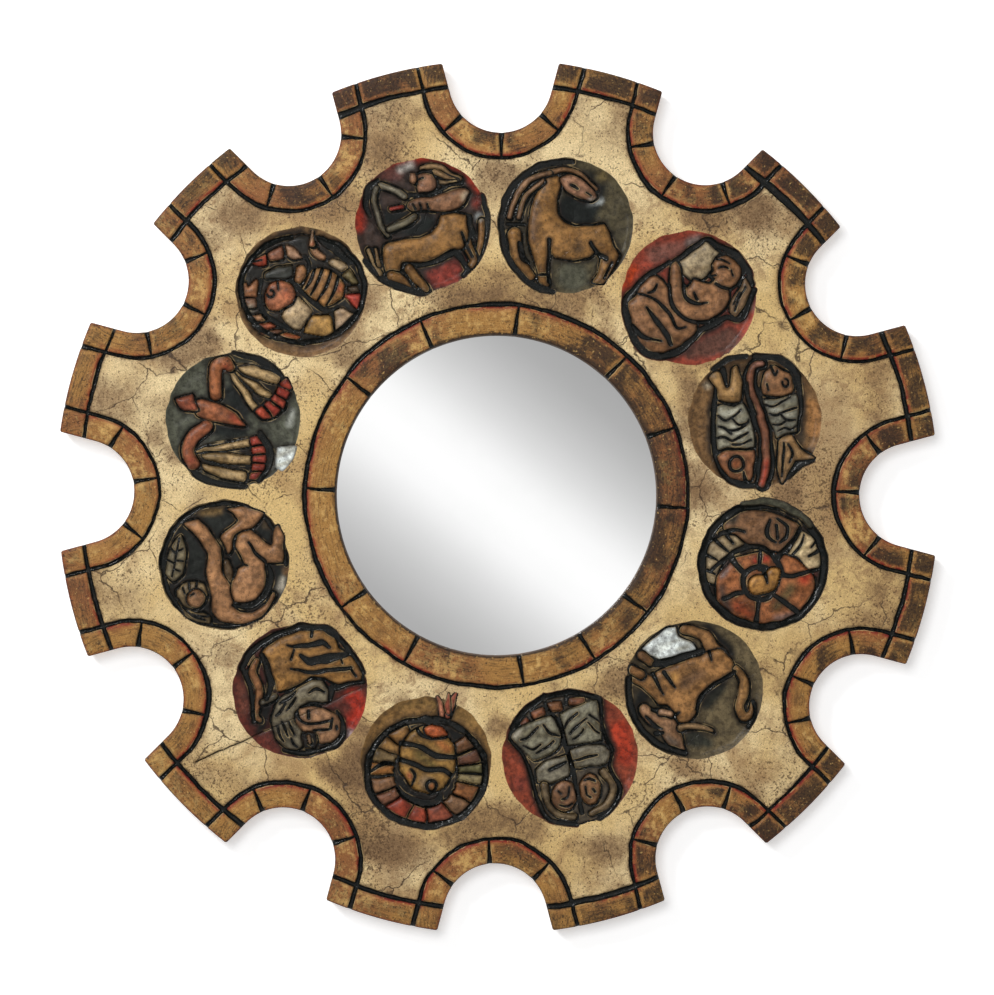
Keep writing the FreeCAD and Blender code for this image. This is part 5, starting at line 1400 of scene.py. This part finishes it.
def addBack(shell, name, px, pz, rim):
    spots, ties, where = [], [], {}
    for i, j in rim:
        for k in (i, j):
            if k not in where:
                where[k] = len(spots)
                spots.append((float(px[k]), float(pz[k])))
        ties.append((where[i], where[j]))
    lip = ringLoop(panel["rebate"], netPlan["lip"])
    first = len(spots)
    ties.extend((first + i, first + (i + 1) % len(lip)) for i in range(len(lip)))
    spots, faces = layNet(spots + lip, ties)
    mids, wood = woodFaces(spots, faces)
    wood &= plankMasks(mids[:, 0], mids[:, 1])[name]
    floorVertex = vertexMaker(shell["verts"], spots[:, 0], spots[:, 1])
    lipEdges = {}
    for corners, mid in zip(faces[wood].tolist(), mids[wood]):
        inRebate = math.hypot(mid[0], mid[1]) < panel["rebate"] - 0.01
        depth = panel["rebateFloor"] if inRebate else panel["back"]
        shell["faces"].append([floorVertex(i, depth) for i in corners])
        for i, j in zip(corners, corners[1:] + corners[:1]):
            lipEdges.setdefault((min(i, j), max(i, j)), set()).add(inRebate)
    for (i, j), sides in lipEdges.items():
        if len(sides) == 2:  # wall of the rebate
            step = [(i, "back"), (j, "back"), (j, "rebateFloor"), (i, "rebateFloor")]
            shell["faces"].append([floorVertex(k, panel[depth]) for k, depth in step])
    shell["looks"].extend([2] * (len(shell["faces"]) - len(shell["looks"])))


def addPaintMarks(mesh, used, count):  # what the paint reads, nothing behind the face
    for key in ("ink", "band", "cover", "red", "sootAndShade", "dirt", "scrape"):
        values = np.zeros(count, dtype=np.float32)
        values[:len(used)] = face[key][used]
        mesh.attributes.new(key, "FLOAT", "POINT").data.foreach_set("value", values)
    grain = np.zeros((count, 3), dtype=np.float32)
    grain[:len(used)] = face["grain"][used]
    mesh.attributes.new("grain", "FLOAT_VECTOR", "POINT").data.foreach_set("vector", grain.ravel())
    paint = np.ones((count, 4), dtype=np.float32)
    paint[:len(used), :3] = face["paint"][used]
    mesh.attributes.new("paint", "FLOAT_COLOR", "POINT").data.foreach_set("color", paint.ravel())


def buildPlank(name, faces):
    used, flat = np.unique(faces.ravel(), return_inverse=True)
    px, pz = netPoints[used, 0], netPoints[used, 1]
    faces = frontFaces(flat.reshape(-1, 3), px, pz)
    rim = rimEdges(faces, len(used))
    shell = {
        "verts": np.stack([px, -panel["face"] - face["height"][used], pz], axis=1).tolist(),
        "faces": faces.tolist(), "looks": [0] * len(faces),
    }
    addWalls(shell, px, pz, rim)
    addBack(shell, name, px, pz, rim)
    mesh = bpy.data.meshes.new(name + "_carved")
    mesh.from_pydata((np.array(shell["verts"]) * 0.001).tolist(), [], shell["faces"])
    for paint in (plankPaints["front"], plankPaints["sides"], backPaints[name]):
        mesh.materials.append(paint)
    mesh.polygons.foreach_set("material_index", shell["looks"])
    mesh.polygons.foreach_set("use_smooth", [True] * len(shell["faces"]))
    addPaintMarks(mesh, used, len(shell["verts"]))
    mesh.update()
    mesh.set_sharp_from_angle(angle=math.radians(62.0))
    piece = bpy.data.objects.new(name + "_carved", mesh)
    scene.collection.objects.link(piece)
    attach(piece, "frame")
    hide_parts(name)
    print(name, "carved,", len(shell["faces"]), "faces")


for name, inPlank in planks.items():
    buildPlank(name, netFaces[inWood & inPlank].copy())


# small parts keep their built shapes and get their own surfaces
def metalPaint(name, tone, stainTone, rough):
    paint, tree, shader = newPaint(name)
    at = place(tree)
    colour = blend(tree, ranged(tree, noise(tree, at, 90.0, 7.0, 0.7), 0.42, 0.70), tone, stainTone)
    feed(tree, shader.inputs["Base Color"], colour)
    shader.inputs["Metallic"].default_value = 1.0
    handled = ranged(tree, noise(tree, at, 240.0, 6.0), 0.3, 0.7, rough - 0.08, rough + 0.14)
    feed(tree, shader.inputs["Roughness"], handled)
    bump(tree, shader, noise(tree, stretched(tree, at, (400.0, 60.0, 900.0)), 1.0, 4.0), 0.15, 0.0003)
    return paint


def boardPaint(name):
    paint, tree, shader = newPaint(name)
    at = place(tree)
    felt = noise(tree, at, 260.0, 8.0, 0.75, 1.2)
    damp = ranged(tree, noise(tree, at, 12.0, 5.0), 0.55, 0.75, 0.0, 0.5)
    colour = blend(tree, ranged(tree, felt, 0.35, 0.68), pot(86, 60, 40), pot(128, 94, 64))
    colour = blend(tree, damp, colour, pot(70, 48, 32))
    feed(tree, shader.inputs["Base Color"], colour)
    feed(tree, shader.inputs["Roughness"], ranged(tree, felt, 0.3, 0.7, 0.62, 0.85))
    bump(tree, shader, felt, 0.4, 0.0005)
    return paint


def rubberPaint(name):
    paint, tree, shader = newPaint(name)
    dust = noise(tree, place(tree), 350.0, 6.0, 0.7)
    colour = blend(tree, ranged(tree, dust, 0.45, 0.72), pot(38, 36, 34), pot(78, 74, 68))
    feed(tree, shader.inputs["Base Color"], colour)
    feed(tree, shader.inputs["Roughness"], ranged(tree, dust, 0.3, 0.7, 0.55, 0.8))
    bump(tree, shader, dust, 0.3, 0.0003)
    return paint


def mirrorPaint(name):
    paint, tree, shader = newPaint(name)
    at = place(tree)
    haze = noise(tree, at, 14.0, 6.0, 0.6)
    colour = blend(tree, ranged(tree, haze, 0.35, 0.70), (0.99, 0.99, 0.99), (0.975, 0.978, 0.975))
    feed(tree, shader.inputs["Base Color"], colour)
    shader.inputs["Metallic"].default_value = 1.0
    feed(tree, shader.inputs["Roughness"], ranged(tree, noise(tree, at, 60.0, 5.0), 0.4, 0.8, 0.015, 0.04))
    return paint


smallPaints = {
    "glass": mirrorPaint("silvered_glass"),
    "hardboard": boardPaint("pressed_board"),
    "brass": metalPaint("aged_brass", pot(184, 146, 74), pot(120, 90, 44), 0.34),
    "screwSteel": metalPaint("screw_steel", pot(170, 168, 162), pot(112, 104, 94), 0.36),
    "hangerSteel": metalPaint("hanger_steel", pot(150, 148, 144), pot(98, 90, 80), 0.42),
    "rubber": rubberPaint("bumper_rubber"),
    "dowelWood": rawWood("dowel_beech", pot(204, 170, 126), pot(176, 138, 96)),
}
nodePaints = {  # the first word that starts a node's name settles its paint
    "mirror_glass": "glass", "backing_disc": "hardboard", "turn_button_screws": "screwSteel",
    "hanger_screws": "screwSteel", "upper_joint_dowels": "dowelWood", "lower_joint_dowels": "dowelWood",
    "turn_button": "brass", "hanger": "hangerSteel", "wall_bumper": "rubber",
}
for name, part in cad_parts.items():
    if name in planks:
        continue
    paint = next(paint for start, paint in nodePaints.items() if name.startswith(start))
    part.data.materials.clear()
    part.data.materials.append(smallPaints[paint])
print("small parts painted")

# wall, lights and camera, metres
stageLook = {
    "wall": 1.6, "wallGap": 0.0006, "lift": 0.42,      # half width, distance behind the part, glow
    "fill": 0.30, "sheen": 0.22, "sideSheen": 0.55,    # light of the room
}
lamps = {
    "key": {"energy": 45.0, "size": 1.0, "at": (-0.45, -3.2, 0.55), "glossy": False},
    "rake": {"energy": 26.0, "size": 0.5, "at": (-1.25, -2.0, 1.2), "glossy": True},  # brings out the carving
    "bench": {"energy": 60.0, "size": 1.2, "at": (-0.9, 2.6, 1.2), "glossy": True},   # lights the back
}
cardLook = {  # bright band across the card that the glass looks back at
    "half": 0.9, "away": 4.2, "tilt": 38.0, "off": 0.0144, "reach": 0.30, "strength": 1.03,
    "middle": 255, "end": 166,
    "fade": ((0.17, 249), (0.26, 240), (0.41, 220), (0.55, 203), (0.70, 187), (0.84, 174)),
}
cameraLook = {"lens": 150.0, "sensor": 36.0, "away": 3.2654, "side": 0.0004, "up": -0.0016}


def stagePiece(name, corners, paint):
    mesh = bpy.data.meshes.new(name)
    mesh.from_pydata(corners, [], [(0, 1, 2, 3)])
    mesh.materials.append(paint)
    piece = bpy.data.objects.new(name, mesh)
    scene.collection.objects.link(piece)
    return piece


def wallPaint():  # white wall, seen from the room side only, lets the bench light through to the back
    paint, tree, shader = newPaint("white_wall")
    tree.nodes.remove(shader)
    flat = tree.nodes.new("ShaderNodeBsdfDiffuse")
    flat.inputs["Color"].default_value = (0.90, 0.90, 0.90, 1.0)
    glow = tree.nodes.new("ShaderNodeEmission")
    path = tree.nodes.new("ShaderNodeLightPath")
    feed(tree, glow.inputs["Strength"], times(tree, path.outputs["Is Camera Ray"], stageLook["lift"]))
    both = tree.nodes.new("ShaderNodeAddShader")
    tree.links.new(flat.outputs[0], both.inputs[0])
    tree.links.new(glow.outputs[0], both.inputs[1])
    sided = tree.nodes.new("ShaderNodeMixShader")
    behind = tree.nodes.new("ShaderNodeNewGeometry").outputs["Backfacing"]
    feed(tree, sided.inputs[0], sums(tree, "MAXIMUM", behind, path.outputs["Is Shadow Ray"]))
    tree.links.new(both.outputs[0], sided.inputs[1])
    tree.links.new(tree.nodes.new("ShaderNodeBsdfTransparent").outputs[0], sided.inputs[2])
    tree.links.new(sided.outputs[0], tree.nodes["Material Output"].inputs["Surface"])
    return paint


def cardPaint():
    paint, tree, shader = newPaint("studio_card")
    tree.nodes.remove(shader)
    tilt = math.radians(cardLook["tilt"])
    across = vectorStep(tree, "DOT_PRODUCT", place(tree), (-math.sin(tilt), 0.0, -math.cos(tilt)))
    away = sums(tree, "ABSOLUTE", less(tree, across.outputs["Value"], cardLook["off"]))
    shade = tree.nodes.new("ShaderNodeValToRGB")
    tree.links.new(sums(tree, "DIVIDE", away, cardLook["reach"]), shade.inputs[0])
    first, last = shade.color_ramp.elements
    first.color, last.color = pot(*[cardLook["middle"]] * 3) + (1.0,), pot(*[cardLook["end"]] * 3) + (1.0,)
    for stop, level in cardLook["fade"]:
        shade.color_ramp.elements.new(stop).color = pot(level, level, level) + (1.0,)
    glow = tree.nodes.new("ShaderNodeEmission")
    tree.links.new(shade.outputs[0], glow.inputs["Color"])
    glow.inputs["Strength"].default_value = cardLook["strength"]
    tree.links.new(glow.outputs[0], tree.nodes["Material Output"].inputs["Surface"])
    return paint


def square(half, y):
    return [(-half, y, -half), (half, y, -half), (half, y, half), (-half, y, half)]


stagePiece("wall", square(stageLook["wall"], stageLook["wallGap"]), wallPaint())
card = stagePiece("card", square(cardLook["half"], -cardLook["away"])[::-1], cardPaint())
card.visible_camera = card.visible_diffuse = card.visible_shadow = card.visible_transmission = False


def hangLamp(name, look):  # every lamp looks at the middle of the panel
    light = bpy.data.lights.new(name, "AREA")
    light.energy, light.size = look["energy"], look["size"]
    piece = bpy.data.objects.new(name, light)
    piece.location = look["at"]
    piece.rotation_euler = (-piece.location).to_track_quat("-Z", "Y").to_euler()
    piece.visible_camera, piece.visible_glossy = False, look["glossy"]
    scene.collection.objects.link(piece)


for name, look in lamps.items():
    hangLamp(name, look)


def roomLight():  # white to the camera, dim fill, and a sheen that is stronger from the sides
    room = bpy.data.worlds.new("room")
    room.use_nodes = True
    tree = room.node_tree
    sky = tree.nodes["Background"]
    sky.inputs["Color"].default_value = (1.0, 1.0, 1.0, 1.0)
    path = tree.nodes.new("ShaderNodeLightPath")
    outward = tree.nodes.new("ShaderNodeTexCoord").outputs["Generated"]
    ahead = vectorStep(tree, "DOT_PRODUCT", outward, (0.0, -1.0, 0.0)).outputs["Value"]
    sheen = ranged(tree, ahead, 0.55, 0.95, stageLook["sideSheen"], stageLook["sheen"])
    glow = mixed(tree, path.outputs["Is Glossy Ray"], stageLook["fill"], sheen)
    feed(tree, sky.inputs["Strength"], mixed(tree, path.outputs["Is Camera Ray"], glow, 1.0))
    return room


def setCamera():
    look = cameraLook
    data = bpy.data.cameras.new("camera")
    data.lens, data.sensor_width, data.sensor_height = look["lens"], look["sensor"], look["sensor"]
    data.sensor_fit = "VERTICAL"
    camera = bpy.data.objects.new("camera", data)
    camera.location = (look["side"], -0.001 * panel["face"] - look["away"], look["up"])
    camera.rotation_euler = (math.radians(90.0), 0.0, 0.0)
    scene.collection.objects.link(camera)
    return camera


scene.world = roomLight()
scene.camera = setCamera()
scene.view_settings.view_transform = "Standard"
print("stage set")
